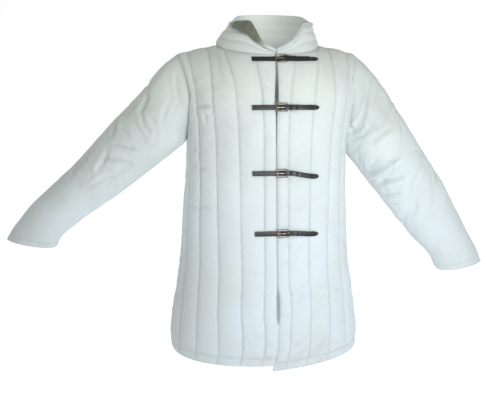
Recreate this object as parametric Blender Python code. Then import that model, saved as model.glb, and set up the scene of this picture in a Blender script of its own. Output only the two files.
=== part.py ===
"""Quilted padded coat of the gambeson kind, in the hollow form it has when it is worn.

Metres, +Z up, the front faces -Y and +X is the wearer's left. The origin is the middle of the neck
opening at the height of the shoulders, where the wearer holds the coat up. Each cloth piece is one
closed wall: a plain inside, and an outside that is raised between the lines of quilting.
"""
import math
from dataclasses import dataclass

import bmesh
import bpy
import numpy as np

# Cloth wall: two cloths stitched flat at a seam, with wadding between them elsewhere
SEAM_GAP = 0.0003
COLLAR_GAP = 0.0005
SEAM_WALL = 0.0032
QUILT_RISE = 0.0050
COLLAR_RISE = 0.0026
SECTION_POWER = 2.45
SECTION_STEPS = 90

# Heights of the main lines
SHOULDER_TIP = (0.257, -0.006)
NECK_POINT = (0.147, 0.019)
SHOULDER_CAMBER = 0.0015
# How the cloth leaves the neckline and the shoulder seam: share ahead, and fall for each metre ahead
NECK_FORWARD = 0.35
SHOULDER_FALL = 0.18
TIP_FALL = 0.10
YOKE_LEAVE = 1.15
YOKE_ARRIVE = 0.95
ARMHOLE_POWER = 1.6
NOTCH_Z = -0.132
UNDERARM_Z = {"right": -0.243, "left": -0.280}
SIDE_SIGN = {"right": -1.0, "left": 1.0}

# Numbers of rows: shoulder to mid armhole, mid armhole to hem, collar, sleeve cap and sleeve
YOKE_ROWS = 6
SKIRT_ROWS = 13
COLLAR_ROWS = 8
TURNED_ROWS = 3
CAP_ROWS = 5
SLEEVE_ROWS = 17

# Where an edge turns away from its panel less than this, its wall lies along the edge's way
EDGE_TURN = 0.35

# A panel's downward slope is read over this drop
LEVEL_STEP = 0.002
# The panels' outer sides face away from this height on the body's axis
BODY_MIDDLE_Z = -0.25
# Quilting rises from the armhole over this share of the skirt, and from the yoke's top over these rows
ARMHOLE_FADE = 0.08
YOKE_FADE = (-0.2, 1.6)


@dataclass(frozen=True)
class Section:
    """One level cut through the body of the coat."""

    z: float
    half_width: float
    front: float
    back: float
    shift: float


TORSO = (
    Section(z=-0.132, half_width=0.242, front=0.146, back=0.130, shift=0.003),
    Section(z=-0.260, half_width=0.229, front=0.156, back=0.126, shift=-0.002),
    Section(z=-0.360, half_width=0.231, front=0.161, back=0.119, shift=-0.005),
    Section(z=-0.490, half_width=0.239, front=0.165, back=0.121, shift=-0.009),
    Section(z=-0.585, half_width=0.244, front=0.170, back=0.130, shift=-0.010),
    Section(z=-0.670, half_width=0.256, front=0.177, back=0.143, shift=-0.011),
    Section(z=-0.800, half_width=0.275, front=0.189, back=0.162, shift=-0.012),
    Section(z=-0.895, half_width=0.279, front=0.195, back=0.171, shift=-0.012),
)


@dataclass(frozen=True)
class Column:
    """A line that runs down a panel, as a share of the way from the centre to the side seam."""

    chest: float
    hem: float
    stitched: bool
    steps: int


# steps counts the strips between a column and the one before it
FRONT_COLUMNS = (
    Column(chest=0.00, hem=0.00, stitched=True, steps=0),
    Column(chest=0.11, hem=0.093, stitched=True, steps=2),
    Column(chest=0.335, hem=0.248, stitched=True, steps=4),
    Column(chest=0.47, hem=0.350, stitched=False, steps=2),
    Column(chest=0.55, hem=0.416, stitched=True, steps=2),
    Column(chest=0.72, hem=0.587, stitched=True, steps=3),
    Column(chest=0.80, hem=0.680, stitched=False, steps=2),
    Column(chest=0.86, hem=0.757, stitched=True, steps=1),
    Column(chest=0.95, hem=0.900, stitched=True, steps=2),
    Column(chest=1.00, hem=1.00, stitched=True, steps=2),
)
# The back is one piece, so no line is stitched down its centre
BACK_COLUMNS = (Column(chest=0.00, hem=0.00, stitched=False, steps=0), *FRONT_COLUMNS[1:])
NECK_COLUMN = 3
NOTCH_COLUMN = 6
# A channel narrower than this share rises less, down to the least rise
FULL_CHANNEL = 0.12
LEAST_RISE = 0.55

# Neckline: height at the centre and depth from the side line, front and back
NECK_FRONT = {"depth": 0.117, "z": -0.008}
NECK_BACK = {"depth": 0.082, "z": 0.026}

# Hem height at the centre and at the side seam
HEM_Z = {
    ("front", "right"): (-0.876, -0.850),
    ("front", "left"): (-0.892, -0.853),
    ("back", "right"): (-0.866, -0.850),
    ("back", "left"): (-0.866, -0.853),
}

# The quilting sinks by this share over the hem, from this share of the skirt's length down
HEM_FLAT = 0.80
HEM_FROM = 0.93

# How late the hem turns up on its way to the side: 1 is a straight rise
HEM_CURVE = {
    ("front", "right"): 2.0,
    ("front", "left"): 1.1,
    ("back", "right"): 2.0,
    ("back", "left"): 2.0,
}


@dataclass(frozen=True)
class Edge:
    """Where the two front edges stand at one height."""

    z: float
    middle: float
    gap: float


FRONT_EDGES = (
    Edge(z=0.000, middle=0.0070, gap=0.0060),
    Edge(z=-0.030, middle=0.0065, gap=0.0105),
    Edge(z=-0.135, middle=0.0040, gap=0.0110),
    Edge(z=-0.180, middle=0.0032, gap=0.0036),
    Edge(z=-0.300, middle=0.0020, gap=0.0016),
    Edge(z=-0.640, middle=0.0024, gap=0.0012),
    Edge(z=-0.720, middle=0.0040, gap=0.0085),
    Edge(z=-0.820, middle=0.0020, gap=0.0090),
    Edge(z=-0.895, middle=-0.0160, gap=0.0030),
)


@dataclass(frozen=True)
class CollarStation:
    """The collar's cut at one place, from the centre front (0) over the neck point (0.5) to the back (1).

    turned is the width of the upper edge that is turned over outwards.
    """

    place: float
    height: float
    lean: float
    turned: float


COLLAR = (
    CollarStation(place=0.00, height=0.012, lean=0.000, turned=0.004),
    CollarStation(place=0.08, height=0.030, lean=0.003, turned=0.008),
    CollarStation(place=0.15, height=0.058, lean=0.009, turned=0.024),
    CollarStation(place=0.21, height=0.078, lean=0.016, turned=0.030),
    CollarStation(place=0.33, height=0.074, lean=0.024, turned=0.020),
    CollarStation(place=0.50, height=0.062, lean=0.026, turned=0.004),
    CollarStation(place=0.72, height=0.078, lean=0.018, turned=0.000),
    CollarStation(place=1.00, height=0.081, lean=-0.004, turned=0.000),
)
COLLAR_TURNED_SHARE = {"right": 1.15, "left": 0.35}
COLLAR_LEAN_SHARE = {"right": 1.40, "left": 1.00}
# The band's top stands this far to the wearer's left, once it is this high
COLLAR_TOP_SHIFT = 0.008
COLLAR_SHIFT_HEIGHTS = (0.02, 0.07)
# How much the band leans in as it leaves the neckline
COLLAR_LEAVE_LEAN = 0.15
# The quilting fades over this many columns at the band's ends
COLLAR_END_FADE = 2.0
COLLAR_LIP = 0.0012
# The turned edge stands off its band by the cloth's own bend, once it is this wide, and by a share more
TURNED_BEND = 0.0045
TURNED_SOFT = 0.006
# An edge that would turn over by less than this stays straight
TURNED_LEAST = 0.0035
TURNED_SPREAD = 0.12
# How far it hangs down, and how high its crest is, for each metre of its width
TURNED_DOWN = 0.85
TURNED_CREST = 0.30
# Heights of the quilting lines round the collar, as shares of its standing height
COLLAR_LINES = (0.0, 0.34, 0.67, 1.0)


@dataclass(frozen=True)
class SleeveRing:
    """One cut across a sleeve; out is away from the body, tilt is the across axis above level."""

    along: float
    out: float
    forward: float
    z: float
    across: float
    deep: float
    tilt: float


SLEEVES = {
    "right": (
        SleeveRing(along=0.00, out=0.315, forward=0.002, z=-0.197, across=0.0920, deep=0.088, tilt=47),
        SleeveRing(along=0.40, out=0.490, forward=0.006, z=-0.353, across=0.0725, deep=0.075, tilt=46),
        SleeveRing(along=0.66, out=0.590, forward=0.012, z=-0.432, across=0.0610, deep=0.066, tilt=50),
        SleeveRing(along=0.85, out=0.640, forward=0.016, z=-0.478, across=0.0590, deep=0.060, tilt=41),
        SleeveRing(along=1.00, out=0.680, forward=0.018, z=-0.534, across=0.0675, deep=0.058, tilt=12),
    ),
    "left": (
        SleeveRing(along=0.00, out=0.337, forward=0.022, z=-0.268, across=0.0945, deep=0.079, tilt=35),
        SleeveRing(along=0.36, out=0.425, forward=0.050, z=-0.397, across=0.0870, deep=0.067, tilt=33),
        SleeveRing(along=0.66, out=0.494, forward=0.068, z=-0.502, across=0.0740, deep=0.061, tilt=32),
        SleeveRing(along=0.85, out=0.538, forward=0.080, z=-0.566, across=0.0630, deep=0.060, tilt=28),
        SleeveRing(along=1.00, out=0.568, forward=0.086, z=-0.624, across=0.0675, deep=0.060, tilt=12),
    ),
}


@dataclass(frozen=True)
class Fold:
    """A soft fold across a sleeve: where it lies, its reach, its rise and its slant."""

    along: float
    angle: float
    half_length: float
    half_angle: float
    rise: float
    slant: float


SLEEVE_FOLDS = {
    "right": (
        Fold(along=0.08, angle=70, half_length=0.05, half_angle=45, rise=-0.0050, slant=0.06),
        Fold(along=0.22, angle=95, half_length=0.05, half_angle=40, rise=-0.0040, slant=-0.05),
        Fold(along=0.36, angle=110, half_length=0.04, half_angle=45, rise=-0.0050, slant=0.08),
        Fold(along=0.45, angle=120, half_length=0.03, half_angle=35, rise=0.0030, slant=0.05),
        Fold(along=0.53, angle=130, half_length=0.04, half_angle=40, rise=-0.0045, slant=0.07),
        Fold(along=0.20, angle=255, half_length=0.05, half_angle=45, rise=-0.0045, slant=0.05),
        Fold(along=0.42, angle=240, half_length=0.05, half_angle=45, rise=-0.0050, slant=-0.06),
    ),
    "left": (
        Fold(along=0.05, angle=75, half_length=0.05, half_angle=35, rise=-0.0055, slant=0.09),
        Fold(along=0.16, angle=120, half_length=0.05, half_angle=40, rise=-0.0050, slant=0.10),
        Fold(along=0.30, angle=80, half_length=0.04, half_angle=35, rise=0.0035, slant=0.08),
        Fold(along=0.42, angle=110, half_length=0.04, half_angle=60, rise=-0.0065, slant=0.09),
        Fold(along=0.53, angle=85, half_length=0.04, half_angle=40, rise=-0.0050, slant=0.06),
        Fold(along=0.22, angle=250, half_length=0.05, half_angle=45, rise=-0.0050, slant=-0.06),
        Fold(along=0.46, angle=235, half_length=0.05, half_angle=45, rise=-0.0050, slant=0.06),
    ),
}
SLEEVE_PAD = 0.0022
# The padding is full between these shares of the way from the armhole to the cuff
PAD_FULL = (0.12, 0.95)
# How strongly the cap follows the armhole's edge, and how full its curve is
CAP_EDGE_PULL = 1.2
CAP_FULLNESS = 0.9
# The cap meets the arm in the way that the arm has over this share of its length
CAP_MEETS = 0.02


@dataclass(frozen=True)
class Closure:
    """One strap and buckle across the front opening."""

    z: float
    left_end: float
    right_end: float
    bar_x: float
    droop: float
    lift: float


CLOSURES = (
    Closure(z=-0.0205, left_end=-0.061, right_end=0.129, bar_x=0.0350, droop=0.000, lift=0.0010),
    Closure(z=-0.1520, left_end=-0.065, right_end=0.124, bar_x=0.0320, droop=0.001, lift=0.0008),
    Closure(z=-0.3320, left_end=-0.066, right_end=0.122, bar_x=0.0310, droop=0.012, lift=0.0000),
    Closure(z=-0.5000, left_end=-0.061, right_end=0.121, bar_x=0.0330, droop=0.006, lift=0.0000),
)
STRAP_WIDTH = 0.0140
STRAP_THICK = 0.0020
TAB_THICK = 0.0016
STRAP_STEP = 0.0060
TAB_STEPS = 11
TAB_RETURN_STEPS = 4
TAB_TURN_STEPS = 7
# The tab's upper layer stands off by this much at each step past the bar
TAB_RETURN_RISE = (0.0022, 0.0004, 0.0, 0.0)
LEATHER_PLAY = 0.0006
CHORD_PLAY = 0.0002
FRAME_LENGTH = 0.0300
FRAME_WIDTH = 0.0225
FRAME_WIRE = 0.0013
FRAME_CORNER = 0.0030
FRAME_SIDES = 6
PRONG_WIDTH = 0.0030
PRONG_THICK = 0.0015
SLOT_HALF = 0.0022
RISE_STEPS = 7
# The strap starts to rise this far past the frame's far side and is up this far before the bar
RISE_START = 0.004
RISE_CLEAR = 0.002
# Its crest over the bar: how far past the bar and how high over the tab
CREST_PAST = 0.0015
CREST_UP = 0.0002
# The strap's pointed end: its length, and the width share at its shoulder and its tip
TAIL_TAPER = 0.016
TAIL_SHOULDER = (0.35, 0.80)
TAIL_TIP_WIDTH = 0.30
# The prong's way round the bar in degrees, and its stations after it: distance, lift and width share
PRONG_TURNS = (-150, 120)
PRONG_TURN_STEPS = 8
PRONG_MIDDLE = (0.008, 0.0004, 0.95)
PRONG_NECK = (0.006, 0.0001, 0.85)
PRONG_TIP = (0.0012, 0.7)
# A slot's edge lies at this share of a narrowed end
SLOT_EDGE = 0.98
DROOP_REACH = 0.085
# A strap's line is measured past both its ends, and its slope over a short step
LINE_MARGIN = 0.012
LINE_STEPS = 72
SLOPE_STEP = 0.004


@dataclass(frozen=True)
class Finish:
    """Colour, roughness and metal value of one material."""

    name: str
    color: tuple
    roughness: float
    metallic: float


CLOTH = Finish("undyed cotton canvas", (0.76, 0.80, 0.79), 0.9, 0.0)
LEATHER = Finish("black leather", (0.02, 0.02, 0.02), 0.45, 0.0)
BRASS = Finish("aged brass", (0.20, 0.16, 0.10), 0.38, 1.0)


def clear_scene():
    """Remove every object of the open file."""
    for thing in list(bpy.data.objects):
        bpy.data.objects.remove(thing)


def material(finish):
    """Make or find the Principled material of a finish."""
    found = bpy.data.materials.get(finish.name)
    if found:
        return found
    made = bpy.data.materials.new(finish.name)
    made.use_nodes = True
    shader = made.node_tree.nodes["Principled BSDF"]
    shader.inputs["Base Color"].default_value = (*finish.color, 1.0)
    shader.inputs["Roughness"].default_value = finish.roughness
    shader.inputs["Metallic"].default_value = finish.metallic
    return made


def unit(vectors):
    """Scale vectors to length one."""
    vectors = np.asarray(vectors, float)
    length = np.linalg.norm(vectors, axis=-1, keepdims=True)
    return vectors / np.maximum(length, 1e-12)


def smoothstep(value, low, high):
    """Rise smoothly from 0 at low to 1 at high."""
    share = np.clip((np.asarray(value, float) - low) / (high - low), 0.0, 1.0)
    return share * share * (3.0 - 2.0 * share)


def smooth_between(stations, key, field, at):
    """Read one field of a table between its rows, along a smooth curve with no overshoot."""
    rows = sorted(stations, key=lambda row: getattr(row, key))
    xs = np.array([getattr(row, key) for row in rows])
    ys = np.array([getattr(row, field) for row in rows])
    slopes = np.diff(ys) / np.diff(xs)
    tangents = np.zeros(len(xs))
    tangents[0] = slopes[0]
    tangents[-1] = slopes[-1]
    for i in range(1, len(xs) - 1):
        same_way = slopes[i - 1] * slopes[i] > 0
        tangents[i] = 2 * slopes[i - 1] * slopes[i] / (slopes[i - 1] + slopes[i]) if same_way else 0.0
    at = float(np.clip(at, xs[0], xs[-1]))
    i = min(int(np.searchsorted(xs, at, side="right")) - 1, len(xs) - 2)
    step = xs[i + 1] - xs[i]
    t = (at - xs[i]) / step
    start = (1 + 2 * t) * (1 - t) ** 2 * ys[i] + t * (1 - t) ** 2 * step * tangents[i]
    end = t * t * (3 - 2 * t) * ys[i + 1] + t * t * (t - 1) * step * tangents[i + 1]
    return start + end


def hermite(start, start_way, end, end_way, t):
    """Point at t on the curve that leaves start along start_way and reaches end along end_way."""
    t = np.asarray(t, float)[..., None]
    first = (2 * t**3 - 3 * t**2 + 1) * start + (t**3 - 2 * t**2 + t) * start_way
    return first + (3 * t**2 - 2 * t**3) * end + (t**3 - t**2) * end_way


def add_object(name, points, faces, finish):
    """Make a mesh object from points and faces, with every face turned outwards."""
    mesh = bpy.data.meshes.new(name)
    body = bmesh.new()
    corners = [body.verts.new(p) for p in points]
    for face in faces:
        body.faces.new([corners[i] for i in face])
    bmesh.ops.triangulate(body, faces=list(body.faces), quad_method="SHORT_EDGE")
    bmesh.ops.recalc_face_normals(body, faces=list(body.faces))
    body.to_mesh(mesh)
    body.free()
    mesh.shade_smooth()
    mesh.set_sharp_from_angle(angle=math.radians(50))
    mesh.materials.append(material(finish))
    thing = bpy.data.objects.new(name, mesh)
    bpy.context.scene.collection.objects.link(thing)
    return thing


def wall_between(name, outside, inside, faces, finish):
    """Close the room between an outer and an inner sheet that share their faces."""
    count = len(outside)
    directed = set()
    for face in faces:
        directed.update(zip(face, face[1:] + face[:1]))
    rim = [(b, a, a + count, b + count) for a, b in directed if (b, a) not in directed]
    inner_faces = [tuple(i + count for i in reversed(face)) for face in faces]
    return add_object(name, [*outside, *inside], [*faces, *inner_faces, *rim], finish)


# Torso

def section_point(face, side, z, share):
    """Point of the coat's plain outer surface, share of the way from the centre to the side seam."""
    half = smooth_between(TORSO, "z", "half_width", z)
    depth = smooth_between(TORSO, "z", face, z)
    shift = smooth_between(TORSO, "z", "shift", z)
    sign = SIDE_SIGN[side]
    start = 0.0
    if face == "front":
        middle = smooth_between(FRONT_EDGES, "z", "middle", z)
        gap = smooth_between(FRONT_EDGES, "z", "gap", z)
        start = (sign * (middle - shift) + gap / 2) / half
    first_turn = math.copysign(math.asin(abs(start) ** (SECTION_POWER / 2)), start)
    turns = np.linspace(first_turn, math.pi / 2, SECTION_STEPS)
    x = half * np.sign(turns) * np.abs(np.sin(turns)) ** (2 / SECTION_POWER)
    y = depth * np.maximum(np.cos(turns), 0.0) ** (2 / SECTION_POWER)
    y[-1] = 0.0
    walked = np.concatenate([[0.0], np.cumsum(np.hypot(np.diff(x), np.diff(y)))])
    reach = share * walked[-1]
    out = np.interp(reach, walked, x)
    deep = np.interp(reach, walked, y)
    facing = -1.0 if face == "front" else 1.0
    return np.array([shift + sign * out, facing * deep, z])


def column_shares(columns):
    """Chest share, hem share and quilting rise of every fine column of a panel."""
    chest, hem, places = [0.0], [0.0], {0: 0}
    for index in range(1, len(columns)):
        before, after = columns[index - 1], columns[index]
        for step in range(1, after.steps + 1):
            t = step / after.steps
            chest.append(before.chest + (after.chest - before.chest) * t)
            hem.append(before.hem + (after.hem - before.hem) * t)
        places[index] = len(chest) - 1
    lines = [column.chest for column in columns if column.stitched]
    if not columns[0].stitched:
        lines.insert(0, -lines[0])
    rise = []
    for share in chest:
        low = max(line for line in lines if line <= share + 1e-9)
        higher = [line for line in lines if line > share + 1e-9]
        if not higher or abs(share - low) < 1e-9:
            rise.append(0.0)
            continue
        t = (share - low) / (higher[0] - low)
        narrow = min(1.0, (higher[0] - low) / FULL_CHANNEL)
        rise.append(math.sqrt(4 * t * (1 - t)) * (LEAST_RISE + (1 - LEAST_RISE) * narrow))
    return np.array(chest), np.array(hem), np.array(rise), places


def neckline(face, side, turn):
    """Point of the neckline, turn is 0 at the centre and a quarter turn at the neck point."""
    sizes = NECK_FRONT if face == "front" else NECK_BACK
    facing = -1.0 if face == "front" else 1.0
    sign = SIDE_SIGN[side]
    centre = FRONT_EDGES[0]
    start = sign * centre.middle + centre.gap / 2 if face == "front" else 0.0
    out = start + (NECK_POINT[0] - start) * math.sin(turn)
    z = sizes["z"] + (NECK_POINT[1] - sizes["z"]) * (1 - math.cos(turn))
    return np.array([sign * out, facing * sizes["depth"] * math.cos(turn), z])


def top_point(face, side, share, notch_share, neck_share):
    """Start of a column on the neckline or on the shoulder seam, and the way it leaves."""
    sign = SIDE_SIGN[side]
    facing = -1.0 if face == "front" else 1.0
    if share <= neck_share:
        turn = share / neck_share * math.pi / 2
        across = math.sin(turn) ** 2
        forward = NECK_FORWARD + (1 - NECK_FORWARD) * across
        fall = 1 - (1 - SHOULDER_FALL) * across
        return neckline(face, side, turn), unit(np.array([0.0, facing * forward, -fall]))
    t = (share - neck_share) / (notch_share - neck_share)
    out = NECK_POINT[0] + (SHOULDER_TIP[0] - NECK_POINT[0]) * t
    z = NECK_POINT[1] + (SHOULDER_TIP[1] - NECK_POINT[1]) * t + SHOULDER_CAMBER * math.sin(math.pi * t)
    return np.array([sign * out, 0.0, z]), unit(np.array([0.0, facing, -SHOULDER_FALL - TIP_FALL * t]))


@dataclass
class Half:
    """The grid of half a panel: points, their way out, quilting rise and named rows."""

    points: dict
    rise: dict
    columns: int
    notch: int
    neck: int


def half_panel(face, side):
    """Points of half a panel; the yoke's rows end at the notch column, the lower rows at the side."""
    columns = FRONT_COLUMNS if face == "front" else BACK_COLUMNS
    chest, hem, rise, places = column_shares(columns)
    notch, neck = places[NOTCH_COLUMN], places[NECK_COLUMN]
    last = len(chest) - 1
    underarm = UNDERARM_Z[side]
    hem_centre, hem_side = HEM_Z[(face, side)]
    points, rises = {}, {}
    for j in range(last + 1):
        beyond = max(0.0, (chest[j] - chest[notch]) / (1 - chest[notch]))
        high = NOTCH_Z + (underarm - NOTCH_Z) * (1 - (1 - beyond) ** ARMHOLE_POWER)
        low = hem_centre + (hem_side - hem_centre) * float(hem[j]) ** HEM_CURVE[face, side]
        for row in range(SKIRT_ROWS + 1):
            t = row / SKIRT_ROWS
            share = chest[j] + (hem[j] - chest[j]) * t
            points[YOKE_ROWS + row, j] = section_point(face, side, high + (low - high) * t, share)
            edge = smoothstep(t, 0.0, ARMHOLE_FADE) if j > notch else 1.0
            flat = HEM_FLAT * smoothstep(t, HEM_FROM, 1.0)
            rises[YOKE_ROWS + row, j] = rise[j] * edge * (1 - flat)
    for j in range(notch + 1):
        start, way = top_point(face, side, chest[j], chest[notch], chest[neck])
        end = points[YOKE_ROWS, j]
        below = section_point(face, side, NOTCH_Z - LEVEL_STEP, chest[j])
        length = np.linalg.norm(end - start)
        curve = hermite(start, way * length * YOKE_LEAVE, end, unit(below - end) * length * YOKE_ARRIVE,
                        np.linspace(0, 1, YOKE_ROWS + 1))
        for row in range(YOKE_ROWS):
            points[row, j] = curve[row]
            fade = smoothstep(row, *YOKE_FADE) if row else 0.0
            fade *= 1.0 if j < notch else 0.0
            rises[row, j] = rise[j] * fade
        if j == notch:
            rises[YOKE_ROWS, j] = 0.0
    return Half(points, rises, last, notch, neck)


def half_faces(half):
    """Quads of half a panel as pairs of grid places."""
    faces = []
    for row in range(YOKE_ROWS + SKIRT_ROWS):
        width = half.notch if row < YOKE_ROWS else half.columns
        for j in range(width):
            faces.append(((row, j), (row, j + 1), (row + 1, j + 1), (row + 1, j)))
    return faces


def outward(points, faces, pointing):
    """Way out at each point, the mean of its faces' ways, turned to agree with pointing."""
    ways = {key: np.zeros(3) for key in points}
    for face in faces:
        a, b, c, d = (points[key] for key in face)
        way = np.cross(c - a, d - b)
        if np.dot(way, pointing(face)) < 0:
            way = -way
        for key in face:
            ways[key] += way
    return {key: unit(way) for key, way in ways.items()}


def panel_ways(half, faces):
    """Ways out of a panel; along the side and shoulder seams they stay in the seam's plane."""
    inside = np.array([0.0, 0.0, BODY_MIDDLE_Z])

    def pointing(face):
        middle = sum(half.points[key] for key in face) / 4
        away = middle - inside
        away[2] = max(away[2], 0.0) * 2
        return away

    ways = outward(half.points, faces, pointing)
    for (row, j), way in ways.items():
        on_side = j == half.columns
        on_shoulder = row == 0 and half.neck <= j <= half.notch
        if on_side or on_shoulder:
            ways[row, j] = unit(way * np.array([1.0, 0.0, 1.0]))
    return ways


@dataclass
class Panel:
    """A finished half panel: outer and inner points by grid place, and its faces."""

    half: Half
    ways: dict
    outside: dict
    inside: dict
    faces: list


def dress_half(face, side):
    """Raise the quilting of half a panel and set its inside a wall's thickness back."""
    half = half_panel(face, side)
    faces = half_faces(half)
    ways = panel_ways(half, faces)
    shift = np.array([0.0, -SEAM_GAP / 2 if face == "front" else SEAM_GAP / 2, 0.0])
    outside, inside = {}, {}
    for key, point in half.points.items():
        outside[key] = point + shift + ways[key] * QUILT_RISE * half.rise[key]
        inside[key] = point + shift - ways[key] * SEAM_WALL
    return Panel(half, ways, outside, inside, faces)


def panel_object(name, halves, finish):
    """Join one or two halves along the centre and close them into one wall."""
    index, outside, inside, faces = {}, [], [], []
    for number, panel in enumerate(halves):
        for key in panel.outside:
            shared = (0, key) if key[1] == 0 else (number, key)
            if shared not in index:
                index[shared] = len(outside)
                mirrored = halves[-1 - number] if len(halves) == 2 and key[1] == 0 else panel
                outside.append((panel.outside[key] + mirrored.outside[key]) / 2)
                inside.append((panel.inside[key] + mirrored.inside[key]) / 2)
        for face in panel.faces:
            keys = [(0, key) if key[1] == 0 else (number, key) for key in face]
            ring = tuple(index[key] for key in keys)
            faces.append(ring if number == 0 else tuple(reversed(ring)))
    return wall_between(name, outside, inside, faces, finish)


# Sleeves

def armhole_keys(half):
    """Grid places down the armhole from the shoulder tip to the underarm point."""
    upper = [(row, half.notch) for row in range(YOKE_ROWS + 1)]
    return upper + [(YOKE_ROWS, j) for j in range(half.notch + 1, half.columns + 1)]


def edge_ways(panel, keys, inner_key):
    """Way that leaves a panel through its edge at each place of the edge."""
    ways = []
    for place, key in enumerate(keys):
        before = panel.half.points[keys[max(place - 1, 0)]]
        after = panel.half.points[keys[min(place + 1, len(keys) - 1)]]
        along = unit(after - before)
        away = panel.half.points[key] - panel.half.points[inner_key(key)]
        away = away - along * np.dot(away, along)
        away = away - panel.ways[key] * np.dot(away, panel.ways[key])
        ways.append(unit(away))
    return ways


def armhole_loop(front, back):
    """The armhole's outer points, ways out and ways off the edge, front down and back up."""
    notch = front.half.notch

    def inner_key(key):
        row, j = key
        if row < YOKE_ROWS:
            return row, j - 1
        return (row, j - 1) if j == notch else (row + 1, j)

    sides = []
    for panel in (front, back):
        keys = armhole_keys(panel.half)
        edge = edge_ways(panel, keys, inner_key)
        sides.append([(panel.half.points[k], panel.ways[k], e) for k, e in zip(keys, edge)])
    down, up = sides
    flat = np.array([1.0, 0.0, 1.0])

    def seam_end(index):
        (point, way, edge), (_, other_way, other_edge) = down[index], up[index]
        return point * flat, unit((way + other_way) * flat), unit((edge + other_edge) * flat)

    return [seam_end(0), *down[1:-1], seam_end(-1), *reversed(up[1:-1])]


def sleeve_turns(front):
    """Turn of each armhole place round the sleeve: 0 at the top, half a turn at the underarm."""
    upper = [math.pi / 2 * i / YOKE_ROWS for i in range(YOKE_ROWS + 1)]
    lower_count = front.half.columns - front.half.notch
    lower = [math.pi / 2 * (1 + i / lower_count) for i in range(1, lower_count + 1)]
    down = upper + lower
    return down + [2 * math.pi - turn for turn in reversed(down[1:-1])]


def fold_rise(side, along, turn):
    """Sum of the soft folds at one place of a sleeve."""
    total = 0.0
    for fold in SLEEVE_FOLDS[side]:
        centre = math.radians(fold.angle)
        off_turn = (turn - centre + math.pi) % (2 * math.pi) - math.pi
        off_along = along - fold.along - fold.slant * off_turn
        size = (off_along / fold.half_length) ** 2 + (math.degrees(off_turn) / fold.half_angle) ** 2
        total += fold.rise * math.exp(-size)
    return total


def sleeve_ring_point(side, along, turn):
    """Point of a sleeve's outer surface beyond its cap."""
    sign = SIDE_SIGN[side]
    read = {field: smooth_between(SLEEVES[side], "along", field, along)
            for field in ("out", "forward", "z", "across", "deep", "tilt")}
    tilt = math.radians(read["tilt"])
    across = np.array([sign * math.cos(tilt), 0.0, math.sin(tilt)])
    front = np.array([0.0, -1.0, 0.0])
    centre = np.array([sign * read["out"], -read["forward"], read["z"]])
    rise = fold_rise(side, along, turn)
    ahead = (read["across"] + rise) * math.cos(turn) * across
    return centre + ahead + (read["deep"] + rise) * math.sin(turn) * front


def sleeve_object(side, front, back):
    """A sleeve: its cap leaves the armhole and turns into the rings of the arm."""
    loop = armhole_loop(front, back)
    turns = sleeve_turns(front)
    sign = SIDE_SIGN[side]
    count = len(loop)
    first = SLEEVES[side][0]
    second = SLEEVES[side][1]
    heading = unit(np.array([sign * (second.out - first.out), first.forward - second.forward,
                             second.z - first.z]))
    outer = {}
    for i, (point, way, edge) in enumerate(loop):
        start = point + edge * SEAM_GAP
        end = sleeve_ring_point(side, 0.0, turns[i])
        ahead = max(float(np.dot(edge, heading)), 0.0)
        leave = unit(heading + edge * ahead * CAP_EDGE_PULL)
        length = np.linalg.norm(end - start)
        arrive = unit(sleeve_ring_point(side, CAP_MEETS, turns[i]) - end)
        curve = hermite(start, leave * length * CAP_FULLNESS, end, arrive * length * CAP_FULLNESS,
                        np.linspace(0, 1, CAP_ROWS + 1))
        for row in range(CAP_ROWS + 1):
            outer[row, i] = curve[row]
        for row in range(1, SLEEVE_ROWS + 1):
            outer[CAP_ROWS + row, i] = sleeve_ring_point(side, row / SLEEVE_ROWS, turns[i])
    rows = CAP_ROWS + SLEEVE_ROWS
    faces = [((r, i), (r, (i + 1) % count), (r + 1, (i + 1) % count), (r + 1, i))
             for r in range(rows) for i in range(count)]
    centres = {r: sum(outer[r, i] for i in range(count)) / count for r in range(rows + 1)}

    def pointing(face):
        middle = sum(outer[key] for key in face) / 4
        return middle - (centres[face[0][0]] + centres[face[2][0]]) / 2

    ways = outward(outer, faces, pointing)
    outside, inside, index = [], [], {}
    for (row, i), point in outer.items():
        index[row, i] = len(outside)
        t = row / rows
        pad = SLEEVE_PAD * smoothstep(t, 0.0, PAD_FULL[0]) * (1 - smoothstep(t, PAD_FULL[1], 1.0))
        if row == 0:
            _, way, edge = loop[i]
            fold_back = smoothstep(EDGE_TURN - float(np.dot(edge, heading)), 0.0, 2 * EDGE_TURN)
            thickness = unit((1 - fold_back) * -way + fold_back * edge)
            outside.append(point)
            inside.append(point + thickness * SEAM_WALL)
        else:
            outside.append(point + ways[row, i] * pad)
            inside.append(point - ways[row, i] * SEAM_WALL)
    ring_faces = [tuple(index[key] for key in face) for face in faces]
    return wall_between(f"sleeve_{side}", outside, inside, ring_faces, CLOTH)


# Collar

def neck_places(front, back):
    """Neckline of one side from the centre front to the centre back, with its ways."""
    rows = []
    for panel in (front, back):
        keys = [(0, j) for j in range(panel.half.neck + 1)]
        edge = edge_ways(panel, keys, lambda key: (1, key[1]))
        rows.append([(panel.half.points[k], panel.ways[k], e) for k, e in zip(keys, edge)])
    ahead, behind = rows
    flat = np.array([1.0, 0.0, 1.0])
    (point, way, edge), (_, other_way, other_edge) = ahead[-1], behind[-1]
    middle = (point * flat, unit((way + other_way) * flat), unit((edge + other_edge) * flat))
    places = [*ahead[:-1], middle, *reversed(behind[:-1])]
    front_places = [0.5 * i / (len(ahead) - 1) for i in range(len(ahead))]
    back_places = [0.5 + 0.5 * i / (len(behind) - 1) for i in range(1, len(behind))]
    return places, front_places + back_places


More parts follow.
